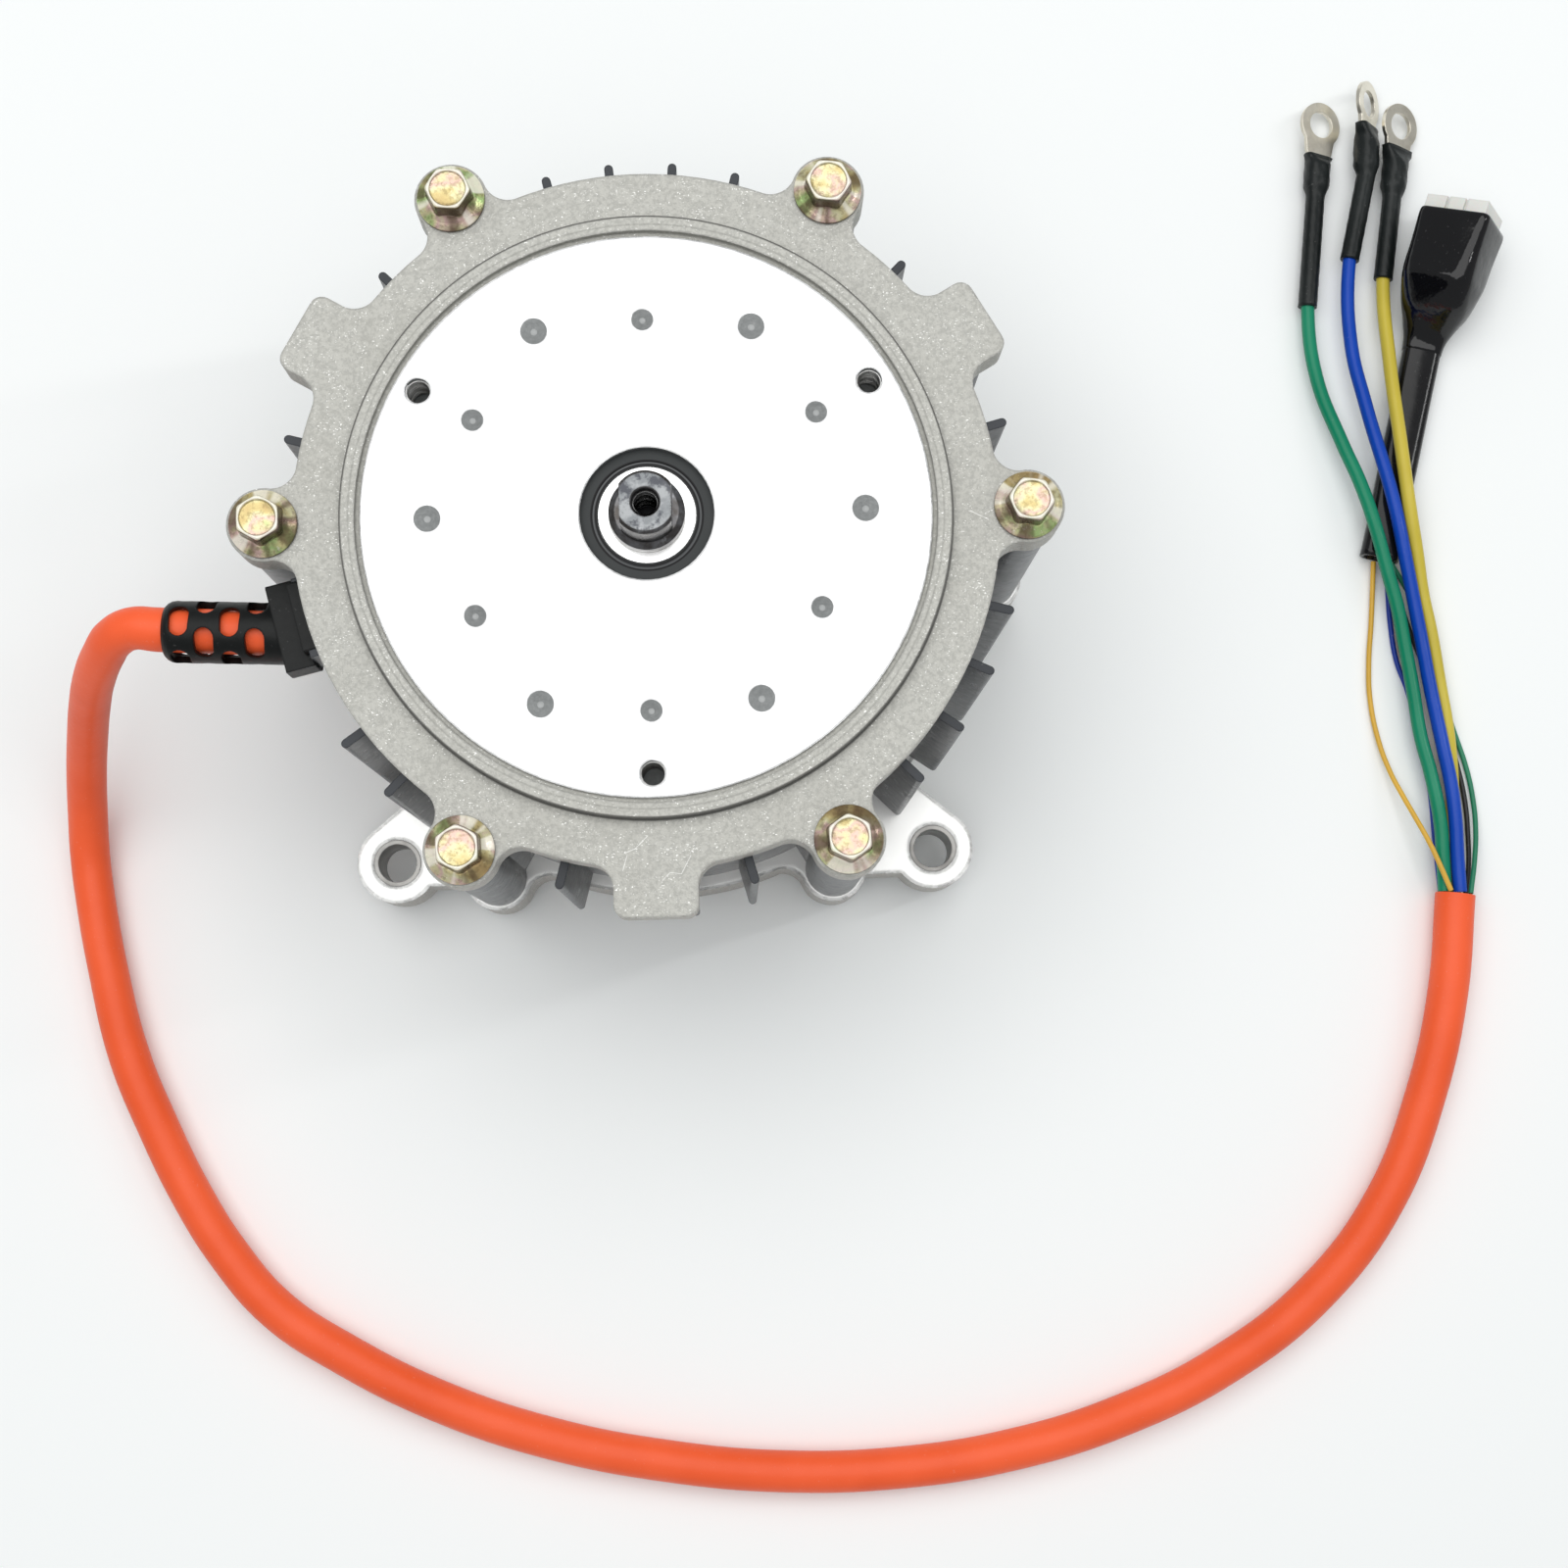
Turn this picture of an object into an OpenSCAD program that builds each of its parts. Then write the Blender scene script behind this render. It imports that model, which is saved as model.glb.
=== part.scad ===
// Inner-rotor brushless motor for an electric scooter.
// Lies on its rear face: Z runs up the shaft, the origin is at the middle of the rear face.
// A case bolt stands on +X and the two mounting ears are on the -Y side.

/* [Casing] */
// Outer radius of the two cast caps
case_r = 69.5; // [68.5:0.5:70.5]
// Radius of the circle that the six case bolts stand on
bolt_circle_r = 75; // [74.5:0.5:76.5]
// Radius of the round bolt lugs on both caps
lug_r = 7.3; // [7:0.1:8]
// Radius of the hollow between a lug and the cap
lug_fillet_r = 5; // [3:0.5:6]
// Height of the register rings that centre the caps in the housing
register_h = 3; // [2:0.5:3.5]
// Thickness of the register rings
register_t = 4; // [3:0.5:5]

/* [Front cap] */
// Height from the housing's front edge to the machined face
cap_h = 10; // [9.5:0.5:12]
// How far the cast outer ring lies below the machined face
ring_drop = 1.8; // [1:0.1:2.5]
// Radius of the machined face
disc_r = 56; // [55:0.5:56.5]
// Width of the groove round the machined face
groove_w = 1; // [0.6:0.1:1.4]
// Width of the raised rim round the groove
rim_w = 3; // [2:0.5:3.5]
// How far the rim stands above the machined face
rim_rise = 0.7; // [0.3:0.1:1.2]
// Width of the three square lugs
square_lug_w = 16.5; // [13:0.5:19]
// Reach of the square lugs from the shaft axis
square_lug_reach = 79; // [76.5:0.5:81]
// Corner radius of the square lugs
square_lug_corner_r = 2.5; // [1.5:0.5:4]
// Thickness of the plate under the machined face
cap_plate_t = 8; // [6:0.5:8.5]
// Radius of the circle of the three tapped holes in the face
face_hole_circle_r = 51.25; // [49:0.25:52]
// Core diameter of the tapped holes in the face
face_hole_d = 5; // [4.2:0.1:6.8]
// Depth of the tapped holes in the face
face_hole_depth = 11; // [8:0.5:11.5]
// Radius of the circle of the six large drill marks
large_mark_circle_r = 42.9; // [42:0.1:44]
// Diameter of the large drill marks
large_mark_d = 5.5; // [4.5:0.1:6.5]
// Radius of the circle of the six small drill marks
small_mark_circle_r = 39; // [38:0.1:40]
// Diameter of the small drill marks
small_mark_d = 4.5; // [3.5:0.1:5.5]
// Depth of the drill marks
mark_depth = 0.9; // [0.5:0.1:1.5]
// Thickness of the lip over the front bearing
bearing_lip_t = 1.5; // [1:0.1:2]
// Radial width of the lip over the front bearing
bearing_lip_w = 2.8; // [2:0.1:3]

/* [Housing] */
// Length of the finned housing between the two caps
housing_len = 65; // [60:1:90]
// Outer radius of the housing wall
wall_r = 66.5; // [65.5:0.5:67.5]
// Inner radius of the housing wall
bore_r = 61; // [60.5:0.5:62]
// Thickness of a cooling fin
fin_t = 1.8; // [1.2:0.1:2.6]
// Reach of the fins from the shaft axis
fin_reach = 75; // [72:0.5:77]
// Cooling fins between two bolt bosses
fin_count = 4; // [3:1:4]
// Angle between neighbouring fins
fin_pitch = 10; // [8:0.5:10]
// Radius of the long bolt bosses
boss_r = 6.3; // [5.5:0.1:6.8]
// Width of the web that joins a boss to the wall
web_w = 9; // [6:0.5:11]

/* [Rear cap] */
// Height of the rear cap
rear_cap_h = 18; // [17:0.5:24]
// Thickness of the rear cap's floor
rear_floor_t = 7; // [6:0.5:7.5]
// Depth of the pockets cast into the rear face
rear_pocket_depth = 3.5; // [2:0.5:4]
// Width of the ribs between the rear pockets
rear_rib_w = 5; // [3:0.5:8]
// Height of the bolt lugs and ears above the rear face
lug_lift = 3; // [1:0.5:5]
// Distance between the two ear holes
ear_spacing = 120; // [114:1:126]
// Distance of the ear holes below the shaft axis
ear_drop = 61; // [58:0.5:64]
// Radius of the rounded ear ends
ear_r = 9; // [8:0.5:11]
// Thickness of the ears
ear_t = 13; // [10:0.5:15]
// Inner diameter of the steel bushes in the ears
bush_bore_d = 8.5; // [8:0.1:9]
// Wall thickness of the bushes
bush_wall = 1; // [0.6:0.1:1.5]

/* [Case bolts] */
// Thread diameter of the case bolts
bolt_d = 6; // [5:0.5:6]
// Width across the flats of the bolt heads
head_af = 8; // [7:0.5:9]
// Diameter of the flange under the heads
head_flange_d = 13.8; // [12:0.2:14.4]
// Height of the head above its seat
head_h = 6.6; // [5:0.2:8]
// Radial play of the bolts in the front cap and housing
bolt_play = 0.3; // [0.2:0.1:0.5]
// Length of the tapped hole left under the bolt's end
tap_runout = 1; // [0.5:0.5:2]

/* [Bearings] */
// Bore of both ball bearings
bearing_bore_d = 15; // [14:0.5:16]
// Outer diameter of both ball bearings
bearing_od = 32; // [31:0.5:33]
// Width of both ball bearings
bearing_w = 9; // [8:0.5:10]
// Diameter of a bearing ball
ball_d = 4.76; // [4.4:0.02:5]
// Balls in each bearing
ball_count = 9; // [7:1:9]
// Height of the wave washer when fitted
wave_h = 1.1; // [0.8:0.1:1.6]

/* [Shaft] */
// Diameter of the double-D shaft end
tip_d = 12.5; // [11:0.5:14]
// Distance across the flats of the shaft end
tip_flats = 10; // [9:0.5:11]
// Height of the shaft end above the machined face
tip_rise = 10; // [8:0.5:20]
// Height above the machined face at which the flats begin
tip_root = 2; // [1:0.5:4]
// Core diameter of the tapped hole in the shaft end
tip_hole_d = 5; // [4.2:0.1:6]
// Depth of the tapped hole in the shaft end
tip_hole_depth = 14; // [8:1:20]
// Diameter of the shaft inside the rotor
shaft_body_d = 22; // [20:0.5:24]

/* [Stator] */
// Room above the stator core for the coil ends, leads and board
front_room = 19.5; // [19.5:0.5:24]
// Radial thickness of the ring behind the teeth
yoke_t = 8.5; // [7:0.5:9]
// Width of a stator tooth
tooth_w = 11; // [9:0.5:11]
// Radial thickness of a tooth tip
tooth_tip_t = 2; // [1:0.25:2]
// Opening between two tooth tips
slot_opening = 2.6; // [2:0.1:4]
// Radius of the stator bore
stator_bore_r = 35.3; // [34.8:0.1:35.5]
// Wall thickness of the coil bobbins
bobbin_t = 1; // [0.6:0.1:1.2]
// Height of the bobbin flanges above the core
bobbin_flange_h = 8.2; // [7:0.2:9]
// Thickness of the inner layer of a coil
coil_inner_t = 3.3; // [2:0.1:3.4]
// Thickness of the outer layer of a coil
coil_outer_t = 5; // [4:0.1:5.2]
// Thickness of the sensor board
board_t = 1.6; // [1:0.1:2]

/* [Rotor] */
// Radial gap between rotor and stator
air_gap = 0.7; // [0.5:0.1:1.2]
// Thickness of the sleeve over the magnets
magnet_sleeve_t = 0.5; // [0.3:0.1:1]
// Thickness of a magnet
magnet_t = 4; // [3:0.5:5]
// Magnets round the rotor
magnet_count = 10; // [8:2:14]
// Gap between neighbouring magnets
magnet_gap = 1.2; // [0.6:0.1:2]
// How far the magnets stand out of the core at each end
magnet_overhang = 0.5; // [0:0.1:1]
// Diameter of the lightening holes in the rotor core
rotor_hole_d = 9; // [6:0.5:10]

/* [Cable gland] */
// Direction of the gland round the shaft axis
gland_angle = 193.6; // [193.2:0.2:194.4]
// Depth of the gland's middle below the housing's front edge
gland_depth = 11; // [10.8:0.1:12]
// Width of the gland's flange
gland_w = 18; // [17:0.2:19]
// Radial thickness of the gland's flange
gland_t = 6; // [4:0.2:8]
// Distance from the shaft axis to the flat that the gland sits on
gland_seat_r = 71.5; // [70.5:0.5:72]
// Outer diameter of the strain-relief sleeve
relief_d = 12.6; // [12.4:0.1:14]
// Length of the strain-relief sleeve past the flange
relief_len = 23.6; // [22:0.2:28]
// Windows along one row of the sleeve
relief_windows = 2; // [1:1:2]
// Width of a window along the sleeve
window_w = 4; // [3:0.1:4.4]

/* [Cable] */
// Outer diameter of the cable jacket
cable_d = 9.1; // [8.8:0.1:9.4]
// Outer diameter of a phase wire
phase_d = 3.2; // [2.8:0.1:3.2]
// Outer diameter of a sensor wire
hall_d = 1.2; // [0.9:0.1:1.2]
// Thickness of a ring terminal's plate
terminal_t = 1; // [0.8:0.1:1.2]
// Diameter of a ring terminal's hole
terminal_hole_d = 6.4; // [5.3:0.1:8.4]
// Radial width of a ring terminal's ring
terminal_ring_w = 2.2; // [1.8:0.1:3]
// Wall thickness of the heat-shrink
shrink_t = 0.5; // [0.4:0.1:0.7]

/* [Connector] */
// Width of the black boot over the connector
boot_w = 17.3; // [16.8:0.1:18]
// Thickness of the boot
boot_t = 15; // [13.6:0.1:15.4]
// How far the white housing stands out of the boot
connector_proud = 3.3; // [2:0.1:5]
// Distance between neighbouring contact cells across the housing
cell_pitch = 4.5; // [4.3:0.1:4.5]

/* [Hidden] */
$fn = 96;

// Clearances: a pressed or seated fit, a running fit, and play round a cable
seat_gap = 0.03;
run_gap = 0.05;
soft_gap = 0.1;
// A cutter reaches this far past the face that it opens
past = 1;
// A fillet cutter bites this far into the round that it blends with
bite = 0.03;

bolt_count = 6;
bolt_angles = [for (i = [0:bolt_count - 1]) i * 360 / bolt_count];
square_lug_angles = [30, 150, 270];
case_top_z = rear_cap_h + housing_len;
face_z = case_top_z + cap_h;
ring_z = face_z - ring_drop;
rim_r = disc_r + groove_w + rim_w;
groove_depth = 0.7;
register_r = bore_r - seat_gap;
tip_z = face_z + tip_rise;

bearing_r = bearing_od / 2;
front_bearing_z = face_z - bearing_lip_t - bearing_w;
rear_seat_z = rear_floor_t - 0.1;
rear_bearing_z = rear_seat_z + wave_h;
bearing_boss_r = bearing_r + 5;
ball_circle_r = (bearing_bore_d + bearing_od) / 4;
race_r = ball_d / 2 + run_gap;
shoulder_depth = 0.27;
inner_ring_r = ball_circle_r - ball_d / 2 * (1 - shoulder_depth);
outer_ring_r = ball_circle_r + ball_d / 2 * (1 - shoulder_depth);
seal_seat_r = outer_ring_r + 0.5;
seal_lip_r = inner_ring_r - 0.3;
seal_t = 0.8;
seal_inset = 0.2;

core_z = rear_cap_h + register_h + seat_gap;
core_top_z = case_top_z - front_room;
core_len = core_top_z - core_z;
core_r = bore_r - seat_gap;
slot_floor_r = core_r - yoke_t;
tooth_count = 12;
tooth_tip_r = stator_bore_r + tooth_tip_t;
bobbin_flange_t = 1.2;
inner_flange_r = tooth_tip_r + 0.3;
inner_flange_w = 2 * (inner_flange_r * tan(180 / tooth_count) - 1);
outer_flange_w = 22;
outer_flange_r = sqrt(slot_floor_r * slot_floor_r - outer_flange_w * outer_flange_w / 4) - bobbin_flange_t - 0.2;
coil_start_r = inner_flange_r + bobbin_flange_t + soft_gap;
coil_end_r = outer_flange_r - soft_gap;
coil_step_r = (coil_start_r + coil_end_r) / 2;
board_z = core_top_z + bobbin_flange_h;

sleeve_out_r = stator_bore_r - air_gap;
magnet_out_r = sleeve_out_r - magnet_sleeve_t - seat_gap;
rotor_core_r = magnet_out_r - magnet_t - seat_gap;
magnet_z = core_z - magnet_overhang;
magnet_len = core_len + 2 * magnet_overhang;

bolt_seat_z = ring_z;
bolt_hole_z = lug_lift + 1;
bolt_end_z = bolt_hole_z + tap_runout;

ear_x = ear_spacing / 2;
ear_z = rear_cap_h - ear_t;
bush_r = bush_bore_d / 2 + bush_wall;

gland_z = case_top_z - gland_depth;
gland_face_r = gland_seat_r + gland_t;
gland_face = [gland_face_r * cos(gland_angle), gland_face_r * sin(gland_angle), gland_z];
gland_bore_r = 5.1;
neck_w = 14;
// The flange stands a little to one side of the sleeve and ends just above its middle
flange_shift = 0.4;
flange_rise = 6.5;
// The sleeve leaves the block at an angle: along -X, turned a little towards +Y
relief_turn = -2.6;
relief_way = [-cos(relief_turn), -sin(relief_turn), 0];

// Cable route: from inside the housing, through the gland, down to the table and round to the cut end
cable_route = [
    [57.5 * cos(gland_angle), 57.5 * sin(gland_angle), gland_z],
    gland_face,
    gland_face + 12 * relief_way + [0, 0.2, 0],
    gland_face + 25 * relief_way + [0, 0.4, 0],
    [-105.2, -16.2, 71.5],
    [-109.6, -17.3, 68.7],
    [-113.5, -19.8, 63],
    [-118, -23.2, 53.5],
    [-121.9, -27, 42.5],
    [-125.8, -32.5, 30],
    [-129.1, -39.5, 18.5],
    [-131.1, -48, 10],
    [-131.7, -56, 6],
    [-130.9, -65, 4.8],
    [-127.9, -82, 4.8],
    [-123, -102, 4.8],
    [-116.5, -118, 4.8],
    [-109, -133.5, 4.8],
    [-100.8, -146.8, 4.8],
    [-90, -159.5, 4.8],
    [-75, -169.8, 4.8],
    [-53.5, -181, 4.8],
    [-29, -189.8, 4.8],
    [-3.5, -195.5, 4.8],
    [22, -198.6, 4.8],
    [48.5, -198.7, 4.8],
    [74, -195.6, 4.8],
    [99, -188.9, 4.8],
    [122.9, -178.3, 4.8],
    [144.5, -163, 4.8],
    [161.2, -143, 4.8],
    [172, -119.5, 4.8],
    [178.5, -96.5, 4.8],
    [181.66, -73.9, 4.8]];

// Phase wires: from the jacket's end, over the sensor sleeve, into the heat-shrink
green_route = [[179.1, -73.2, 5.4], [179.1, -65.5, 5.5], [179, -57, 5.5], [177.6, -46, 5.1],
    [175.8, -37, 4.9], [174.7, -26, 4.7], [173.4, -15.5, 4.8], [172, -6, 5.3], [170.1, 1.5, 6.1],
    [167.2, 13.5, 7.3], [164.6, 23.5, 6.4], [161.3, 33, 5.4], [156.5, 49.5, 3.7]];
blue_route = [[182.5, -73.5, 5.8], [182.4, -65.7, 5.8], [182.5, -57, 5.7], [182, -48.5, 5.6],
    [180.7, -39.5, 5.4], [178.5, -24, 5], [177.5, -15.5, 4.9], [176.2, -6.5, 5.3], [174.6, 3, 6.4],
    [172, 19, 7.3], [167, 42, 6.6], [164.7, 57, 5.5]];
yellow_route = [[182, -73.5, 2.6], [182.6, -66, 2.2], [182.9, -58, 2.1], [183.3, -45, 2.3],
    [182.7, -35, 3], [181.6, -25, 3], [180.1, -12, 3.3], [178.6, -3, 3.7], [177.4, 6.5, 5.2],
    [175.9, 16, 7.1], [174.5, 33, 7.4], [173.5, 52, 6]];

// Sensor wires: from the jacket's end to the mouth of the sensor sleeve
red_hall_route = [[179.8, -73.1, 2], [180.3, -58, 0.8], [179.6, -45, 0.8], [177.4, -33, 0.7],
    [175.6, -24, 0.7], [173.8, -17.5, 0.7], [172.7, -8, 1.2], [172, -3, 2.3], [170.7, 1.5, 3.2],
    [169.5, 5.1, 3.6]];
black_hall_route = [[184.4, -73.9, 3.7], [185.9, -68, 2.2], [186.6, -60, 1.1], [186.5, -52, 0.7],
    [185.2, -43.5, 0.7], [181.5, -28, 0.7], [175, -8, 0.7], [172.2, 4.4, 1.9]];
yellow_hall_route = [[179.8, -73.2, 7.8], [177.6, -67.5, 8.1], [175.5, -62, 7.7], [173.1, -56, 6],
    [170.9, -50.5, 4.2], [168.9, -45, 2.5], [166.9, -37, 1], [165.6, -27, 0.7], [165.8, -19, 0.7],
    [167, -8.3, 0.8], [168, 5.3, 1.9]];
green_hall_route = [[185, -73.9, 5.6], [186.9, -66, 4], [188.1, -58.7, 2.4], [188.3, -51.6, 1.1],
    [187.4, -44.6, 0.7], [184.4, -33.4, 0.7], [180.5, -15, 0.7], [176.1, -3, 1.9], [171.7, 4.5, 3.4]];
blue_hall_route = [[178.7, -72.9, 3.1], [178.7, -62, 1.4], [178.3, -48, 0.8], [176.9, -38.4, 0.8],
    [174.5, -25.4, 0.7], [172.4, -18.5, 0.7], [171.4, -9, 0.7], [171.1, -1, 1.2], [170.5, 4.9, 1.9]];

// Sensor sleeve and connector: one straight line on the table from the sleeve's mouth
hall_mouth = [169, 5.4, 2.7];
hall_turn = 75.2;
sleeve_len = 53.5;
sleeve_w = 9;
sleeve_h = 5;
// The connector lies turned, rolled and tipped on the line: where its straight part starts, and how
plug_start = [64.5, 0.6, 10.5];
plug_turn = -5.9;
plug_roll = -32.5;
plug_pitch = -4.9;
plug_len = 17.6;

// Ring terminals: place of each hole's middle, heading of the wire, roll about it, heat-shrink cover
green_lead = [[160.9, 111.9, 3.2], 83.1, 23, 7.8, 37.5, 0];
blue_lead = [[172.1, 116.1, 5.2], 85.6, 51, 5.6, 33.6, -9.5];
yellow_lead = [[179.8, 110.8, 4.2], 80.7, 31, 5.6, 32.7, 0];
tongue_w = 7;
barrel_d = 4.8;
barrel_start = 9.5;
barrel_end = 15.5;
wire_end = barrel_end + soft_gap;
bend_at = barrel_end + 2;

// Half width of a tongue this far behind the hole
function tongue_half(behind) = lookup(behind, [[3, tongue_w / 2 + 0.6], [7, tongue_w / 2], [barrel_start, barrel_d / 2 - 0.3]]);

function unit(v) = v / norm(v);

// Direction of a route at one of its points
function heading(route, i) =
    i == 0 ? unit(route[1] - route[0])
    : i == len(route) - 1 ? unit(route[i] - route[i - 1])
    : unit(unit(route[i + 1] - route[i]) + unit(route[i] - route[i - 1]));

// Round section across a route
function route_ring(route, i, radius, sides) =
    let (ahead = heading(route, i), side = unit(cross(ahead, [0, 0, 1])), upward = cross(side, ahead))
    [for (k = [0:sides - 1]) route[i] + radius * (cos(360 * k / sides) * side + sin(360 * k / sides) * upward)];

// Skin over a list of closed sections with the same number of points each
module skin(rings) {
    count = len(rings[0]);
    last = len(rings) - 1;
    walls = [for (i = [0:last - 1], k = [0:count - 1])
        let (a = i * count + k, b = i * count + (k + 1) % count, c = b + count, d = a + count)
        each [[a, b, c], [a, c, d]]];
    start_cap = [[for (k = [count - 1:-1:0]) k]];
    end_cap = [[for (k = [0:count - 1]) last * count + k]];
    polyhedron(points = [for (ring = rings) each ring], faces = concat(start_cap, walls, end_cap), convexity = 6);
}

module tube(route, diameter, sides) {
    skin([for (i = [0:len(route) - 1]) route_ring(route, i, diameter / 2, sides)]);
}

// Upright oval section, from an ellipse at 2 to nearly a rectangle at 6, in the plane across X
function oval(x, width, height, lift, power, sides = 20) =
    [for (k = [0:sides - 1]) let (a = 360 * k / sides, c = cos(a), s = sin(a))
        [x, -width / 2 * sign(c) * pow(abs(c), 2 / power), lift + height / 2 * sign(s) * pow(abs(s), 2 / power)]];

// Hollow between the cap's round edge and a round lug
module round_lug_blend() {
    a = case_r + lug_fillet_r;
    b = lug_r + lug_fillet_r;
    turn = acos((a * a + bolt_circle_r * bolt_circle_r - b * b) / (2 * a * bolt_circle_r));
    lug = [bolt_circle_r, 0];
    for (side = [-1, 1]) {
        spoke = [cos(turn), side * sin(turn)];
        centre = a * spoke;
        difference() {
            polygon([[0.9 * case_r, 0], case_r * spoke, centre, lug + lug_r * unit(centre - lug), lug]);
            translate(centre) circle(lug_fillet_r + bite);
        }
    }
}

// Hollow between the cap's round edge and the side of a square lug
module square_lug_blend() {
    for (side = [-1, 1]) {
        y = square_lug_w / 2 + lug_fillet_r;
        x = sqrt((case_r + lug_fillet_r) * (case_r + lug_fillet_r) - y * y);
        spoke = [x, side * y] / (case_r + lug_fillet_r);
        difference() {
            polygon([[0.9 * case_r, 0], case_r * spoke, [x, side * y], [x, side * (y - lug_fillet_r)], [x, 0]]);
            translate([x, side * y]) circle(lug_fillet_r + bite);
        }
    }
}

module square_lug() {
    inset = square_lug_corner_r;
    half = square_lug_w / 2;
    corner = [for (a = [0:18:90]) [square_lug_reach - inset + inset * cos(a), half - inset + inset * sin(a)]];
    polygon(concat([[0.9 * case_r, -half]], [for (i = [5:-1:0]) [corner[i][0], -corner[i][1]]],
        corner, [[0.9 * case_r, half]]));
}

module bolt_lugs() {
    for (a = bolt_angles) rotate(a) {
        translate([bolt_circle_r, 0]) circle(lug_r);
        round_lug_blend();
    }
}

module front_outline() {
    circle(case_r);
    bolt_lugs();
    for (a = square_lug_angles) rotate(a) {
        square_lug();
        square_lug_blend();
    }
}

module drill_mark(d) {
    translate([0, 0, face_z - mark_depth]) cylinder(d1 = 0.8, d2 = d, h = mark_depth);
    translate([0, 0, face_z - 0.001]) cylinder(d = d, h = past);
}

module front_cap() color([0.72, 0.71, 0.68]) difference() {
    plate_z = face_z - cap_plate_t;
    hole_boss_z = face_z - face_hole_depth - 2;
    lip_r = bearing_r - bearing_lip_w;
    pocket_r = bearing_r + seat_gap;
    union() {
        translate([0, 0, case_top_z]) linear_extrude(ring_z - case_top_z) difference() {
            front_outline();
            circle(rim_r - 1);
        }
        rotate_extrude() polygon([
            [pocket_r, front_bearing_z - 1], [bearing_boss_r, front_bearing_z - 1],
            [bearing_boss_r, plate_z], [register_r - register_t, plate_z],
            [register_r - register_t, case_top_z - register_h], [register_r, case_top_z - register_h],
            [register_r, case_top_z], [rim_r, case_top_z],
            [rim_r, face_z + rim_rise], [disc_r + groove_w, face_z + rim_rise],
            [disc_r + groove_w, face_z - groove_depth], [disc_r, face_z - groove_depth],
            [disc_r, face_z], [lip_r, face_z],
            [lip_r, face_z - bearing_lip_t], [pocket_r, face_z - bearing_lip_t]]);
        for (a = square_lug_angles) rotate(a)
            translate([face_hole_circle_r, 0, hole_boss_z]) cylinder(r = face_hole_d / 2 + 3.3, h = plate_z - hole_boss_z + 2);
    }
    for (a = bolt_angles) rotate(a)
        translate([bolt_circle_r, 0, case_top_z - past]) cylinder(d = bolt_d + 2 * bolt_play, h = cap_h + 2 * past);
    for (a = square_lug_angles) rotate(a)
        translate([face_hole_circle_r, 0, face_z - face_hole_depth]) cylinder(d = face_hole_d, h = face_hole_depth + past);
    for (i = [0:5]) {
        rotate(i * 60) translate([large_mark_circle_r, 0, 0]) drill_mark(large_mark_d);
        rotate(i * 60 + 30) translate([small_mark_circle_r, 0, 0]) drill_mark(small_mark_d);
    }
}

// Fin outline with a rounded tip
module fin() {
    half = fin_t / 2;
    tip = fin_reach - half;
    polygon(concat([[wall_r - 2, -half]], [for (a = [-90:30:90]) [tip + half * cos(a), half * sin(a)]],
        [[wall_r - 2, half]]));
}

module housing_outline() {
    difference() {
        union() {
            circle(wall_r);
            for (a = bolt_angles) rotate(a) {
                translate([bolt_circle_r, 0]) circle(boss_r);
                translate([wall_r - 2, -web_w / 2]) square([bolt_circle_r - wall_r + 2, web_w]);
                for (i = [0:fin_count - 1])
                    let (turn = 180 / bolt_count + (i - (fin_count - 1) / 2) * fin_pitch)
                        if (abs(a + turn - gland_angle) > 12) rotate(turn) fin();
            }
        }
        circle(bore_r);
        for (a = bolt_angles) rotate(a) translate([bolt_circle_r, 0]) circle(d = bolt_d + 2 * bolt_play);
    }
}

module stator_housing() color([0.33, 0.34, 0.37]) difference() {
    union() {
        translate([0, 0, rear_cap_h]) linear_extrude(housing_len + 1) housing_outline();
        on_gland() translate([wall_r - 3, flange_shift, 0]) rotate([90, 0, 90])
            linear_extrude(gland_seat_r - wall_r + 3) neck_outline(gland_w / 2 - 0.8, gland_depth + 2);
    }
    translate([0, 0, case_top_z]) cylinder(r = fin_reach + 12, h = past + 2);
    on_gland() translate([bore_r - 4, 0, 0]) rotate([90, 0, 90]) linear_extrude(20)
        neck_outline(neck_w / 2 + soft_gap, gland_depth + past);
}

// One ear of the rear cap, with the wing that joins it to the body
module ear(side) {
    hole = [side * ear_x, -ear_drop];
    lug = bolt_circle_r * [side * cos(60), -sin(60)];
    shoulder = hole + (ear_r - bite) * [side * cos(50), sin(50)];
    low_y = -ear_drop - 0.6 * ear_r;
    translate(hole) circle(ear_r);
    polygon([hole, shoulder, shoulder + 21 * [-side * cos(40), sin(40)], lug + [-side * 4, 12],
        [lug[0], low_y], [hole[0] - side * 0.75 * ear_r, low_y]]);
}

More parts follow.
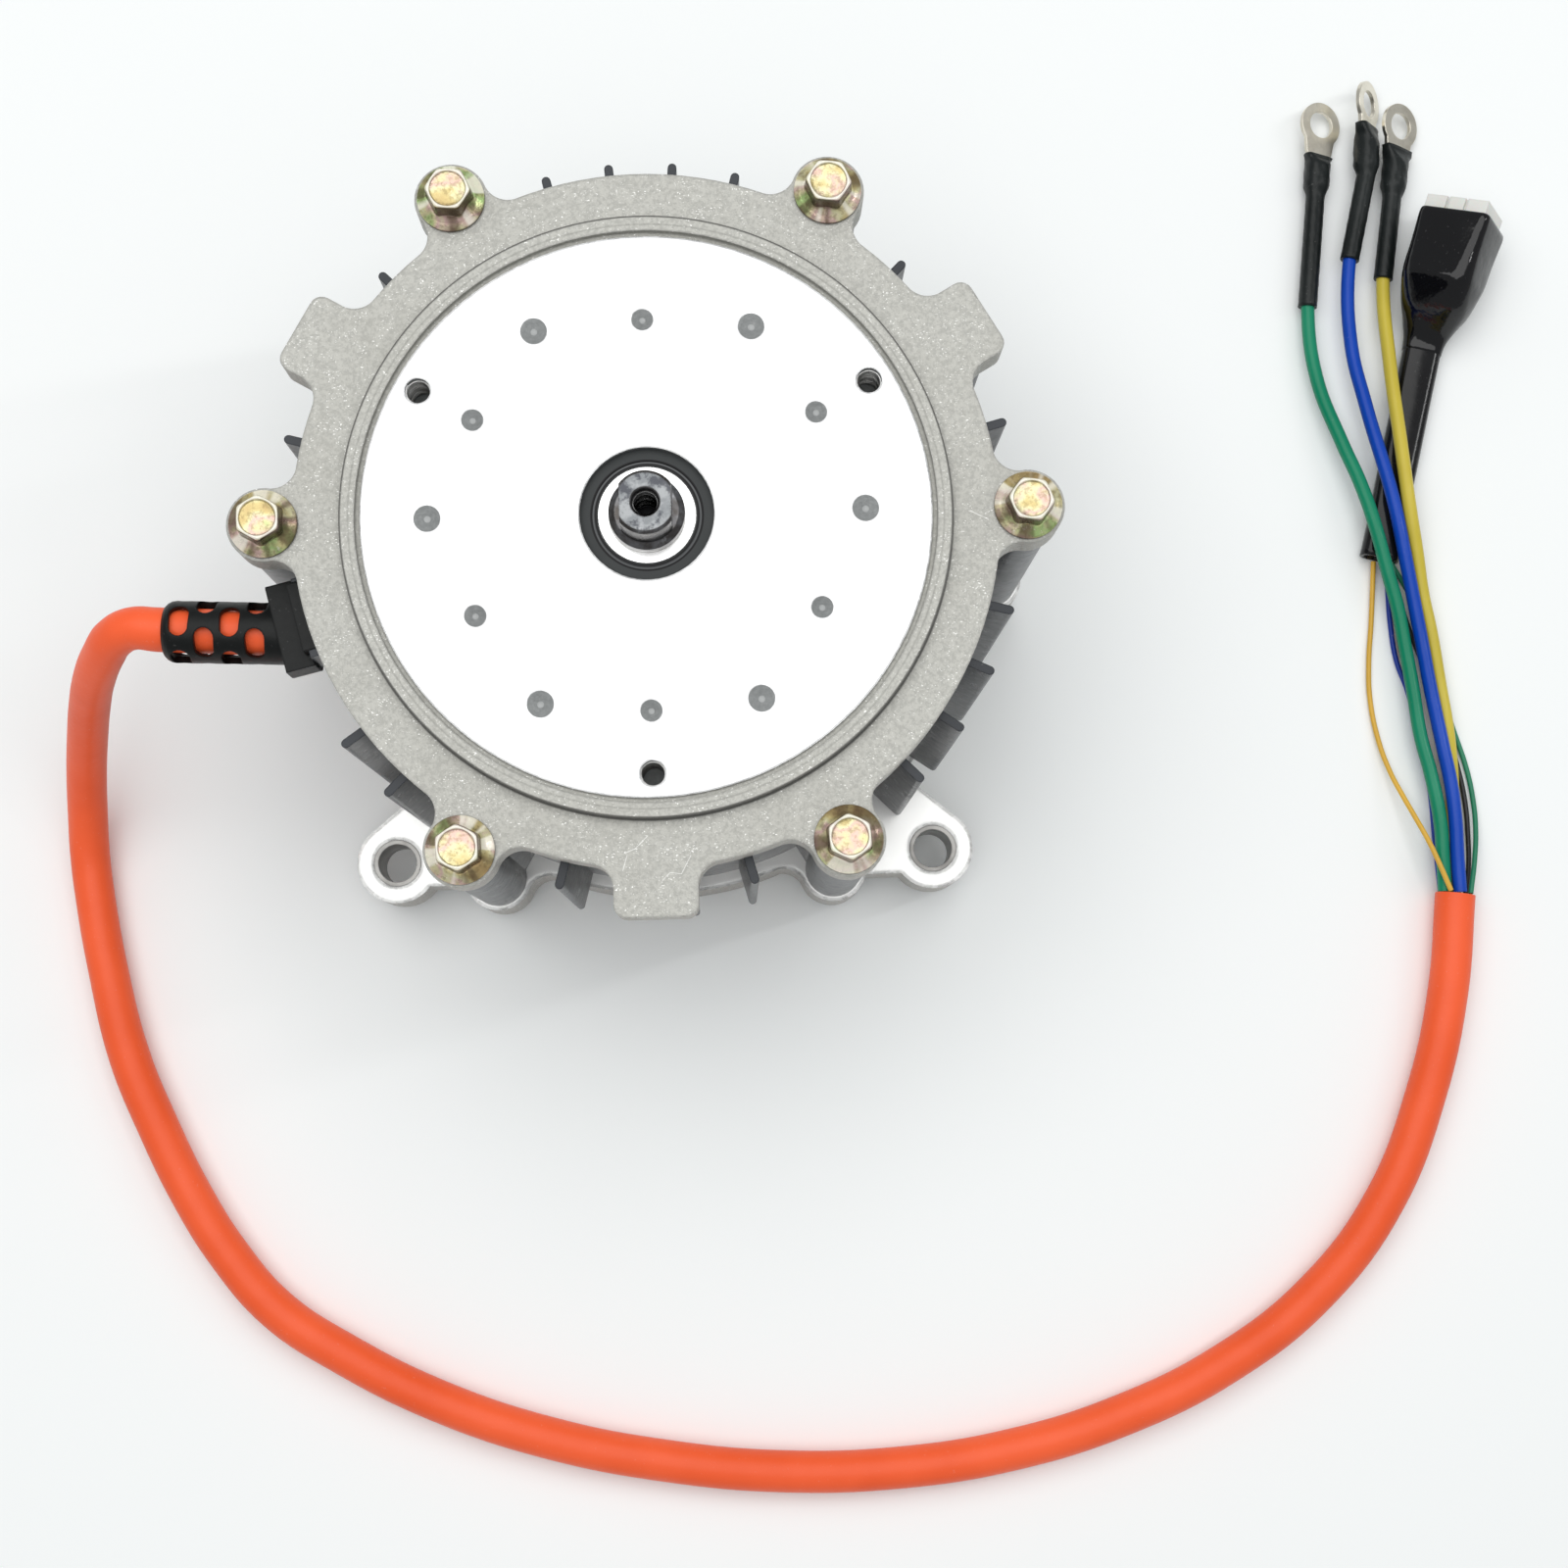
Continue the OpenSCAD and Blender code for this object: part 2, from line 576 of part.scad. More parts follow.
module rear_cap() color([0.75, 0.74, 0.72]) difference() {
    cavity_r = register_r - register_t;
    union() {
        difference() {
            union() {
                cylinder(r = case_r, h = rear_cap_h);
                cylinder(r = register_r, h = rear_cap_h + register_h);
                translate([0, 0, lug_lift]) linear_extrude(rear_cap_h - lug_lift) bolt_lugs();
                for (side = [-1, 1]) translate([0, 0, ear_z]) linear_extrude(ear_t) ear(side);
            }
            translate([0, 0, rear_floor_t]) cylinder(r = cavity_r, h = rear_cap_h + register_h);
        }
        cylinder(r = bearing_boss_r, h = rear_bearing_z + bearing_w);
    }
    translate([0, 0, rear_seat_z]) cylinder(r = bearing_r + seat_gap, h = bearing_w + wave_h + past);
    translate([0, 0, rear_pocket_depth]) cylinder(r = bearing_bore_d / 2 + 3, h = rear_seat_z);
    translate([0, 0, -past]) linear_extrude(rear_pocket_depth + past) difference() {
        circle(cavity_r + 3);
        circle(bearing_boss_r + 4);
        for (a = [0:60:120]) rotate(a) square([2 * case_r, rear_rib_w], center = true);
    }
    for (a = bolt_angles) rotate(a)
        translate([bolt_circle_r, 0, bolt_hole_z]) cylinder(d = bolt_d, h = rear_cap_h);
    for (side = [-1, 1])
        translate([side * ear_x, -ear_drop, ear_z - past]) cylinder(r = bush_r + seat_gap, h = ear_t + 2 * past);
}

module ear_bushes() color([0.62, 0.62, 0.6]) for (side = [-1, 1])
    translate([side * ear_x, -ear_drop, ear_z]) difference() {
        cylinder(r = bush_r, h = ear_t);
        translate([0, 0, -past]) cylinder(d = bush_bore_d, h = ear_t + 2 * past);
    }

// One flange bolt, standing on its seat at the origin
module case_bolt() {
    rim_h = 1;
    cone_h = 2.6;
    dish_r = 0.4 * head_af;
    corner_r = head_af / 2 / cos(30);
    difference() {
        union() {
            rotate_extrude() polygon([[0, 0], [head_flange_d / 2, 0], [head_flange_d / 2, rim_h],
                [0.46 * head_af, cone_h], [0, cone_h]]);
            intersection() {
                translate([0, 0, 1]) cylinder(r = corner_r, h = head_h - 1, $fn = 6);
                cylinder(r1 = corner_r + head_h - 0.4, r2 = corner_r - 0.4, h = head_h);
            }
            translate([0, 0, bolt_end_z - bolt_seat_z])
                cylinder(d = bolt_d - 2 * run_gap, h = bolt_seat_z - bolt_end_z + 0.5);
        }
        translate([0, 0, head_h - 0.6]) cylinder(r1 = dish_r - 0.3, r2 = dish_r, h = 0.6);
        translate([0, 0, head_h - 0.001]) cylinder(r = dish_r, h = past);
    }
}

module case_bolts() color([0.8, 0.7, 0.4]) for (a = bolt_angles) rotate(a)
    translate([bolt_circle_r, 0, bolt_seat_z]) rotate(a * 2 + 12) case_bolt();

// Oval hole through one side of the sleeve, reaching out from its axis
module relief_window() {
    round_r = window_w / 2;
    linear_extrude(relief_d) polygon([for (a = [0:20:340])
        [round_r * cos(a), (3.2 - round_r) * sign(sin(a) + 0.001) + round_r * sin(a)]]);
}

// Outline of the gland's neck and of its notch: round below, straight up to the cap
module neck_outline(half, rise) {
    polygon(concat([for (a = [180:18:360]) half * [cos(a), sin(a)]], [[half, rise], [-half, rise]]));
}

// Gland's own place: the origin is on the shaft axis at the gland's height, X runs out through the gland
module on_gland() translate([0, 0, gland_z]) rotate(gland_angle) children();

module cable_gland() color([0.1, 0.1, 0.11]) difference() {
    inner_half = 8;
    union() {
        on_gland() {
            translate([gland_seat_r + seat_gap, flange_shift, 0]) rotate([90, 0, 90])
                linear_extrude(gland_t - seat_gap) neck_outline(gland_w / 2, flange_rise);
            translate([bore_r - 1.5, 0, 0]) rotate([90, 0, 90]) linear_extrude(3)
                neck_outline(neck_w / 2, inner_half - 0.5);
            translate([bore_r + 0.2, 0, 0]) rotate([90, 0, 90]) linear_extrude(gland_seat_r - bore_r + 1)
                neck_outline(neck_w / 2, gland_depth - soft_gap);
            translate([bore_r - 2.8, -inner_half, -inner_half]) cube([1.8, 2 * inner_half, 2 * inner_half - 0.3]);
        }
        translate(gland_face - 3 * relief_way) rotate(relief_turn) rotate([0, -90, 0]) rotate_extrude() polygon(concat(
            [[0, 0], [relief_d / 2, 0]],
            [for (a = [0:18:90]) [relief_d / 2 - 2.6 + 2.6 * cos(a), relief_len + 0.4 + 2.6 * sin(a)]],
            [[0, relief_len + 3]]));
    }
    on_gland() translate([bore_r - 6, 0, 0]) rotate([0, 90, 0])
        cylinder(r = gland_bore_r, h = gland_face_r - bore_r + 6);
    translate(gland_face) rotate([0, 90, 0]) sphere(r = gland_bore_r + 0.4);
    translate(gland_face) rotate(relief_turn) rotate([0, -90, 0]) cylinder(r = gland_bore_r, h = relief_len + 2);
    for (row = [0:7], i = [0:relief_windows - 1])
        translate(gland_face + (4.2 + 5.1 * (2 * i + row % 2)) * relief_way) rotate(relief_turn)
            rotate([31 - 45 * row, 0, 0]) relief_window();
}

module stator_core() color([0.42, 0.43, 0.45]) translate([0, 0, core_z]) linear_extrude(core_len) union() {
    difference() {
        circle(core_r);
        circle(slot_floor_r);
    }
    difference() {
        circle(tooth_tip_r);
        circle(stator_bore_r);
        for (i = [0:tooth_count - 1]) rotate((i + 0.5) * 360 / tooth_count)
            translate([stator_bore_r - 3, -slot_opening / 2]) square([tooth_tip_t + 6, slot_opening]);
    }
    for (i = [0:tooth_count - 1]) rotate(i * 360 / tooth_count)
        translate([stator_bore_r + 0.8, -tooth_w / 2]) square([slot_floor_r - stator_bore_r, tooth_w]);
}

// Block round one tooth, from one radius to another, standing out past the tooth on all sides
module tooth_block(from_r, to_r, width, rise) {
    translate([from_r, -width / 2, core_z - rise]) cube([to_r - from_r, width, core_len + 2 * rise]);
}

module slot_insulators() color([0.9, 0.88, 0.8]) for (i = [0:tooth_count - 1]) rotate(i * 360 / tooth_count)
    difference() {
        union() {
            tooth_block(inner_flange_r, inner_flange_r + bobbin_flange_t, inner_flange_w, bobbin_flange_h);
            tooth_block(outer_flange_r, outer_flange_r + bobbin_flange_t, outer_flange_w, bobbin_flange_h);
            tooth_block(inner_flange_r, outer_flange_r + bobbin_flange_t, tooth_w + 2 * bobbin_t, bobbin_t);
        }
        tooth_block(inner_flange_r - past, outer_flange_r + 4, tooth_w + 2 * seat_gap, seat_gap);
    }

// Racetrack of wire round one bobbin
module coil_layer(from_r, to_r, thickness) {
    inner_w = tooth_w + 2 * bobbin_t + 2 * seat_gap;
    inner_l = core_len + 2 * bobbin_t + 2 * seat_gap;
    translate([from_r, 0, core_z + core_len / 2]) rotate([90, 0, 90]) linear_extrude(to_r - from_r) difference() {
        union() {
            square([inner_w + 2 * thickness, inner_l], center = true);
            square([inner_w, inner_l + 2 * thickness], center = true);
            for (x = [-1, 1], y = [-1, 1]) translate([x * inner_w / 2, y * inner_l / 2]) rotate(45)
                square(1.3 * thickness, center = true);
        }
        square([inner_w, inner_l], center = true);
    }
}

module stator_windings() color([0.72, 0.4, 0.2]) for (i = [0:tooth_count - 1]) rotate(i * 360 / tooth_count) {
    coil_layer(coil_start_r, coil_step_r, coil_inner_t);
    coil_layer(coil_step_r, coil_end_r, coil_outer_t);
}

module hall_board() color([0.1, 0.35, 0.2]) translate([0, 0, board_z]) linear_extrude(board_t) difference() {
    intersection() {
        circle(outer_flange_r);
        polygon(concat([[0, 0]],
            [for (a = [-75:25:75]) 1.5 * outer_flange_r * [cos(gland_angle + a), sin(gland_angle + a)]]));
    }
    circle(sleeve_out_r - 6);
}

module hall_sensors() color([0.08, 0.08, 0.08]) for (i = [-1:1])
    rotate(gland_angle + i * 24) translate([magnet_out_r - 3, -2, board_z - 5]) cube([1.5, 4, 5]);

module motor_shaft() color([0.5, 0.5, 0.49]) difference() {
    journal_r = bearing_bore_d / 2 - seat_gap / 3;
    shoulder_r = (bearing_bore_d / 2 + inner_ring_r) / 2 + 0.8;
    body_r = shaft_body_d / 2;
    tip_r = tip_d / 2;
    edge = 0.6;
    flats_z = face_z + tip_root;
    rotate_extrude() polygon([
        [0, rear_bearing_z - 0.5], [journal_r - edge, rear_bearing_z - 0.5], [journal_r, rear_bearing_z + 0.1],
        [journal_r, rear_bearing_z + bearing_w], [shoulder_r, rear_bearing_z + bearing_w],
        [shoulder_r, core_z - 2], [body_r, core_z - 2],
        [body_r, core_top_z + 2], [shoulder_r, core_top_z + 2],
        [shoulder_r, front_bearing_z], [journal_r, front_bearing_z],
        [journal_r, flats_z - 1], [tip_r, flats_z],
        [tip_r, tip_z - edge], [tip_r - edge, tip_z], [0, tip_z]]);
    for (side = [-1, 1]) translate([side * (tip_flats / 2 + tip_r) , 0, flats_z + tip_rise])
        cube([2 * tip_r, 2 * bearing_bore_d, 2 * tip_rise], center = true);
    translate([0, 0, tip_z - tip_hole_depth]) cylinder(d = tip_hole_d, h = tip_hole_depth + past);
    translate([0, 0, tip_z - 0.5]) cylinder(d1 = tip_hole_d, d2 = tip_hole_d + 1, h = 0.5);
    translate([0, 0, tip_z - 0.001]) cylinder(d = tip_hole_d + 1, h = past);
}

module rotor_core() color([0.45, 0.45, 0.47]) translate([0, 0, core_z]) linear_extrude(core_len) difference() {
    circle(rotor_core_r);
    circle(shaft_body_d / 2 + seat_gap);
    for (i = [0:5]) rotate(i * 60) translate([(rotor_core_r + shaft_body_d / 2) / 2, 0]) circle(d = rotor_hole_d);
}

module rotor_magnets() color([0.6, 0.61, 0.64]) translate([0, 0, magnet_z]) linear_extrude(magnet_len) difference() {
    circle(magnet_out_r);
    circle(magnet_out_r - magnet_t);
    for (i = [0:magnet_count - 1]) rotate((i + 0.5) * 360 / magnet_count)
        translate([0, -magnet_gap / 2]) square([2 * magnet_out_r, magnet_gap]);
}

module magnet_sleeve() color([0.7, 0.7, 0.72]) translate([0, 0, magnet_z]) difference() {
    cylinder(r = sleeve_out_r, h = magnet_len);
    translate([0, 0, -past]) cylinder(r = sleeve_out_r - magnet_sleeve_t, h = magnet_len + 2 * past);
}

// Bearing pieces, each standing on the plane z = 0
module bearing_outer_ring() rotate_extrude() difference() {
    union() {
        translate([outer_ring_r, seal_inset + seal_t + 0.1])
            square([bearing_r - outer_ring_r, bearing_w - 2 * (seal_inset + seal_t + 0.1)]);
        translate([seal_seat_r, 0]) square([bearing_r - seal_seat_r, bearing_w]);
    }
    translate([ball_circle_r, bearing_w / 2]) circle(race_r);
}

module bearing_inner_ring() rotate_extrude() difference() {
    union() {
        translate([bearing_bore_d / 2, 0]) square([seal_lip_r - soft_gap - bearing_bore_d / 2, bearing_w]);
        translate([bearing_bore_d / 2, seal_inset + seal_t + 0.1])
            square([inner_ring_r - bearing_bore_d / 2, bearing_w - 2 * (seal_inset + seal_t + 0.1)]);
    }
    translate([ball_circle_r, bearing_w / 2]) circle(race_r);
}

module bearing_balls() for (i = [0:ball_count - 1]) rotate(i * 360 / ball_count)
    translate([ball_circle_r, 0, bearing_w / 2]) sphere(d = ball_d);

module bearing_cage() difference() {
    half = ball_d / 2 + 0.5;
    rotate_extrude() translate([ball_circle_r - 0.8, bearing_w / 2 - half]) square([1.6, 2 * half]);
    for (i = [0:ball_count - 1]) rotate(i * 360 / ball_count)
        translate([ball_circle_r, 0, bearing_w / 2]) rotate([0, 90, 0]) sphere(d = ball_d + 2 * run_gap);
}

// Rubber seal with a fine groove round its lip
module bearing_seal() rotate_extrude() difference() {
    translate([seal_lip_r, 0]) square([seal_seat_r - seal_lip_r - seat_gap, seal_t]);
    translate([seal_lip_r + 0.7, -0.3]) square([0.5, 0.6]);
}

module bearing_seals() {
    translate([0, 0, bearing_w - seal_inset]) mirror([0, 0, 1]) bearing_seal();
    translate([0, 0, seal_inset]) bearing_seal();
}

module front_bearing_outer_ring() color([0.75, 0.75, 0.76]) translate([0, 0, front_bearing_z]) bearing_outer_ring();
module front_bearing_inner_ring() color([0.8, 0.8, 0.81]) translate([0, 0, front_bearing_z]) bearing_inner_ring();
module front_bearing_balls() color([0.85, 0.85, 0.86]) translate([0, 0, front_bearing_z]) bearing_balls();
module front_bearing_cage() color([0.6, 0.58, 0.5]) translate([0, 0, front_bearing_z]) bearing_cage();
module front_bearing_seals() color([0.08, 0.08, 0.09]) translate([0, 0, front_bearing_z]) bearing_seals();
module rear_bearing_outer_ring() color([0.75, 0.75, 0.76]) translate([0, 0, rear_bearing_z]) bearing_outer_ring();
module rear_bearing_inner_ring() color([0.8, 0.8, 0.81]) translate([0, 0, rear_bearing_z]) bearing_inner_ring();
module rear_bearing_balls() color([0.85, 0.85, 0.86]) translate([0, 0, rear_bearing_z]) bearing_balls();
module rear_bearing_cage() color([0.6, 0.58, 0.5]) translate([0, 0, rear_bearing_z]) bearing_cage();
module rear_bearing_seals() color([0.08, 0.08, 0.09]) translate([0, 0, rear_bearing_z]) bearing_seals();

// Spring washer with three waves between its seat and the rear bearing
module wave_washer() color([0.65, 0.65, 0.67]) {
    steps = 36;
    strip_t = 0.35;
    inner = seal_seat_r + 0.2;
    outer = bearing_r - 0.3;
    swing = (wave_h - strip_t - seat_gap) / 2;
    mid = rear_seat_z + wave_h / 2;
    corners = [for (i = [0:steps - 1]) let (a = 360 * i / steps, z = mid + swing * cos(3 * a))
        each [[inner * cos(a), inner * sin(a), z - strip_t / 2], [outer * cos(a), outer * sin(a), z - strip_t / 2],
            [outer * cos(a), outer * sin(a), z + strip_t / 2], [inner * cos(a), inner * sin(a), z + strip_t / 2]]];
    polyhedron(points = corners, faces = [for (i = [0:steps - 1], k = [0:3])
        let (here = 4 * i, next = 4 * ((i + 1) % steps), j = (k + 1) % 4)
        [here + k, next + k, next + j, here + j]], convexity = 6);
}

module motor_cable() color([0.99, 0.38, 0.15]) tube(cable_route, cable_d, 12);

// Place on a lead: x runs along the wire from the middle of the terminal's hole
module on_lead(lead) translate(lead[0]) rotate(lead[1]) rotate([lead[2], 0, 0]) children();

// Point on a lead's line, this far behind the middle of its hole, past the bend behind the barrel
function behind_hole(lead, distance) =
    let (straight = min(distance, bend_at), rest = distance - straight, turned = lead[1] + lead[5])
    lead[0] - straight * [cos(lead[1]), sin(lead[1]), 0] - rest * [cos(turned), sin(turned), 0];

// The same bend for a ring drawn on the lead's own line
function bent(ring, lead, at) = [for (p = ring)
    let (back = max(0, -at - bend_at), x = p[0] + back)
    unroll(lead[2], [-back * cos(lead[5]), -back * sin(lead[5]), 0]) + [x, p[1], p[2]]];
function unroll(roll, v) = [v[0], v[1] * cos(roll), -v[1] * sin(roll)];

module phase_wire(route, lead) {
    tube(concat(route, [for (d = [lead[3] + lead[4], bend_at, wire_end]) behind_hole(lead, d)]), phase_d, 8);
}

module green_phase_wire() color([0.1, 0.55, 0.4]) phase_wire(green_route, green_lead);
module blue_phase_wire() color([0.08, 0.25, 0.8]) phase_wire(blue_route, blue_lead);
module yellow_phase_wire() color([0.8, 0.74, 0.28]) phase_wire(yellow_route, yellow_lead);

// Flat tongue and crimp barrel of a terminal, grown by a gap for the heat-shrink's inside
module terminal_tail(gap) {
    edge = [for (behind = [3, 7, barrel_start, barrel_start + 1]) [-behind, tongue_half(behind) + gap]];
    translate([0, 0, -terminal_t / 2 - gap]) linear_extrude(terminal_t + 2 * gap)
        polygon(concat(edge, [for (i = [3:-1:0]) [edge[i][0], -edge[i][1]]]));
    translate([-barrel_end - gap, 0, 0]) rotate([0, 90, 0])
        cylinder(r = barrel_d / 2 + gap, h = barrel_end - barrel_start + gap);
}

module ring_terminal(lead) on_lead(lead) difference() {
    union() {
        translate([0, 0, -terminal_t / 2]) cylinder(r = terminal_hole_d / 2 + terminal_ring_w, h = terminal_t);
        terminal_tail(0);
    }
    translate([0, 0, -terminal_t]) cylinder(d = terminal_hole_d, h = 2 * terminal_t);
}

module green_ring_terminal() color([0.72, 0.7, 0.66]) ring_terminal(green_lead);
module blue_ring_terminal() color([0.72, 0.7, 0.66]) ring_terminal(blue_lead);
module yellow_ring_terminal() color([0.72, 0.7, 0.66]) ring_terminal(yellow_lead);

// Heat-shrink drawn flat over the tongue and round over the wire
module heat_shrink(lead) on_lead(lead) difference() {
    start = -lead[3];
    wrap = 2 * (shrink_t + soft_gap);
    wire_w = phase_d + wrap;
    tail = start - lead[4];
    skin([bent(oval(tail, wire_w, wire_w, 0, 2, 16), lead, tail), oval(-bend_at, wire_w, wire_w, 0, 2, 16),
        oval(-barrel_end - 0.4, barrel_d + wrap, barrel_d + wrap, 0, 2, 16),
        oval(-barrel_start, barrel_d + 0.3 + wrap, barrel_d + wrap, 0, 2.2, 16),
        oval(start - 0.8, 2 * tongue_half(lead[3] + 0.8) + wrap, terminal_t + 1.8 + wrap, 0, 4, 16),
        oval(start, 2 * tongue_half(lead[3]) + wrap - 0.3, terminal_t + 0.8 + wrap, 0, 4, 16)]);
    terminal_tail(soft_gap);
    inner_d = phase_d + 2 * soft_gap;
    inner_tail = lead[5] == 0 ? tail - past : -bend_at - 1;
    translate([inner_tail, 0, 0]) rotate([0, 90, 0]) cylinder(d = inner_d, h = 1 - barrel_end - inner_tail);
    if (lead[5] != 0) translate([-bend_at, 0, 0]) rotate([-lead[2], 0, 0]) rotate([0, 0, lead[5]])
        translate([tail + bend_at - past, 0, 0]) rotate([0, 90, 0]) cylinder(d = inner_d, h = past - tail - bend_at + 1);
}

module green_heat_shrink() color([0.1, 0.1, 0.1]) heat_shrink(green_lead);
module blue_heat_shrink() color([0.1, 0.1, 0.1]) heat_shrink(blue_lead);
module yellow_heat_shrink() color([0.1, 0.1, 0.1]) heat_shrink(yellow_lead);

module red_hall_wire() color([0.75, 0.1, 0.12]) tube(red_hall_route, hall_d, 8);
module black_hall_wire() color([0.08, 0.08, 0.08]) tube(black_hall_route, hall_d, 8);
module yellow_hall_wire() color([0.85, 0.68, 0.2]) tube(yellow_hall_route, hall_d, 8);
module green_hall_wire() color([0.08, 0.5, 0.35]) tube(green_hall_route, hall_d, 8);
module blue_hall_wire() color([0.08, 0.2, 0.7]) tube(blue_hall_route, hall_d, 8);

// Place on the sensor line: x runs from the sleeve's mouth to the connector, z up from the table
module on_hall_line() translate([hall_mouth[0], hall_mouth[1], 0]) rotate(hall_turn) children();

module hall_sleeve() color([0.07, 0.07, 0.08]) on_hall_line()
    skin([oval(0.25, sleeve_w, sleeve_h, hall_mouth[2], 2.6, 16), oval(sleeve_len, sleeve_w, sleeve_h, hall_mouth[2], 2.6, 16)]);

connector_w = 3 * cell_pitch + 1.5;
connector_t = boot_t - 3.4;
connector_len = 19;
connector_start = plug_len + connector_proud - connector_len;

// Rounded rectangle across the line, five points to a corner
function block_ring(x, width, height, corner) = [for (q = [0:3], i = [0:4])
    let (a = 90 * q + 22.5 * i, u = q == 0 || q == 3 ? 1 : -1, v = q < 2 ? 1 : -1)
    [x, -(u * (width / 2 - corner) + corner * cos(a)), v * (height / 2 - corner) + corner * sin(a)]];

// The ring rolled, tipped and turned, and put at a place on the sensor line
function placed(ring, place, turn, roll, pitch) = [for (p = ring)
    let (y = p[1] * cos(roll) - p[2] * sin(roll), z = p[1] * sin(roll) + p[2] * cos(roll),
        x = p[0] * cos(pitch) + z * sin(pitch), up = z * cos(pitch) - p[0] * sin(pitch))
    place + [x * cos(turn) - y * sin(turn), x * sin(turn) + y * cos(turn), up]];

// Place on the connector: x runs along it from the start of its straight part
module on_plug() on_hall_line() translate(plug_start) rotate([0, 0, plug_turn]) rotate([0, plug_pitch, 0])
    rotate([plug_roll, 0, 0]) translate([0, 0.5, 0]) children();

module connector_boot() color([0.05, 0.05, 0.06]) difference() {
    cavity_t = connector_t + 2 * soft_gap;
    cavity_w = connector_w + 2 * soft_gap;
    on_hall_line() skin([
        placed(block_ring(0, sleeve_w + 0.8, sleeve_h + 0.6, 2.6), [sleeve_len + soft_gap, 0, sleeve_h / 2 + 0.4], 0, 0, 0),
        placed(block_ring(0, sleeve_w + 2, sleeve_h + 2.4, 3.4), [55.4, 0, 4], 0, -4, 0),
        placed(block_ring(0, boot_w - 3.4, boot_t - 4.6, 3.6), [58, 0.1, 5.7], -3, -14, -8),
        placed(block_ring(0, boot_w - 0.6, boot_t - 1.8, 2.6), [61.6, 0.3, 8.6], -5, -26, -8),
        placed(block_ring(0, boot_w, boot_t, 1.5), plug_start, plug_turn, plug_roll, plug_pitch),
        placed(block_ring(plug_len - 0.8, boot_w, boot_t, 1.5), plug_start, plug_turn, plug_roll, plug_pitch),
        placed(block_ring(plug_len, boot_w - 1.2, boot_t - 1.2, 1.2), plug_start, plug_turn, plug_roll, plug_pitch)]);
    on_plug() translate([connector_start - soft_gap, -cavity_w / 2, -cavity_t / 2])
        cube([connector_len + past, cavity_w, cavity_t]);
}

module connector_housing() color([0.9, 0.9, 0.88]) on_plug() translate([connector_start, 0, 0]) difference() {
    row = connector_t / 4;
    translate([0, -connector_w / 2, -connector_t / 2]) cube([connector_len, connector_w, connector_t]);
    for (y = [-1:1], z = [-1, 1]) translate([connector_len - 9, y * cell_pitch - 1.6, z * row - 1.8])
        cube([9 + past, 3.2, 3.6]);
    for (y = [-0.5, 0.5], z = [-1, 1])
        translate([connector_len - connector_proud, y * cell_pitch - 0.35, z * connector_t / 2 - 0.8])
            cube([connector_proud + past, 0.7, 1.6]);
}

module connector_contacts() color([0.8, 0.65, 0.35]) on_plug() for (cell = [[-1, -1], [0, -1], [1, -1], [-1, 1], [0, 1]])
    translate([connector_start + connector_len - 9 + seat_gap, cell[0] * cell_pitch - 1.1, cell[1] * connector_t / 4 - 0.9])
        difference() {
            cube([6.5, 2.2, 1.8]);
            translate([2, 0.3, 0.3]) cube([6, 1.6, 1.2]);
        }

front_cap();
stator_housing();
rear_cap();
ear_bushes();
case_bolts();
cable_gland();
stator_core();
slot_insulators();
stator_windings();
hall_board();
hall_sensors();
motor_shaft();
rotor_core();
rotor_magnets();
magnet_sleeve();
front_bearing_outer_ring();
front_bearing_inner_ring();
front_bearing_balls();
front_bearing_cage();
front_bearing_seals();
rear_bearing_outer_ring();
rear_bearing_inner_ring();
rear_bearing_balls();
rear_bearing_cage();
rear_bearing_seals();
wave_washer();
motor_cable();
green_phase_wire();
blue_phase_wire();
yellow_phase_wire();
green_heat_shrink();
blue_heat_shrink();
yellow_heat_shrink();
green_ring_terminal();
blue_ring_terminal();
yellow_ring_terminal();
red_hall_wire();
black_hall_wire();
yellow_hall_wire();
green_hall_wire();
blue_hall_wire();
hall_sleeve();
connector_boot();
connector_housing();
connector_contacts();
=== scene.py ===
import math

import bpy
from mathutils import Matrix, Vector


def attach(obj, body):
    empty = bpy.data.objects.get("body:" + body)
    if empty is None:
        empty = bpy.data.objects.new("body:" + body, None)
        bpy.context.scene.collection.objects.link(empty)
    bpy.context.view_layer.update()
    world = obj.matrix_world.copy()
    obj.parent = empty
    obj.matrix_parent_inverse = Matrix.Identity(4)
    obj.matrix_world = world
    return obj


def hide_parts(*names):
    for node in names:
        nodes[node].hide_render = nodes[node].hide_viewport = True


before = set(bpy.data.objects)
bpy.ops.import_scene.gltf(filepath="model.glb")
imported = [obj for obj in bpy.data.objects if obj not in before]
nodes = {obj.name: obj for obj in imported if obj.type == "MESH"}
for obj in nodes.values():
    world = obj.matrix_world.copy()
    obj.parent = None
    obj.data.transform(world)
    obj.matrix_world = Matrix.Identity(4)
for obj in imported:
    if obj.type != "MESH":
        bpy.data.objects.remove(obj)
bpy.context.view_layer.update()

MM = 0.001


# Camera. The motor lies on its rear face and is seen from almost straight above, a little from
# the mounting-ear side, with the cable's loop in front of it and the wire ends at the right.
CAMERA_PLACE = (14.86, -104.92, 543.45)
CAMERA_RIGHT = (0.99937, -0.02967, 0.01969)
CAMERA_UP = (0.02726, 0.99324, 0.11287)
CAMERA_BACK = (-0.02291, -0.11226, 0.99341)
LENS = 53.88


def put_in_scene(name, data):
    """A new object with this data, linked into the scene."""
    thing = bpy.data.objects.new(name, data)
    bpy.context.scene.collection.objects.link(thing)
    return thing


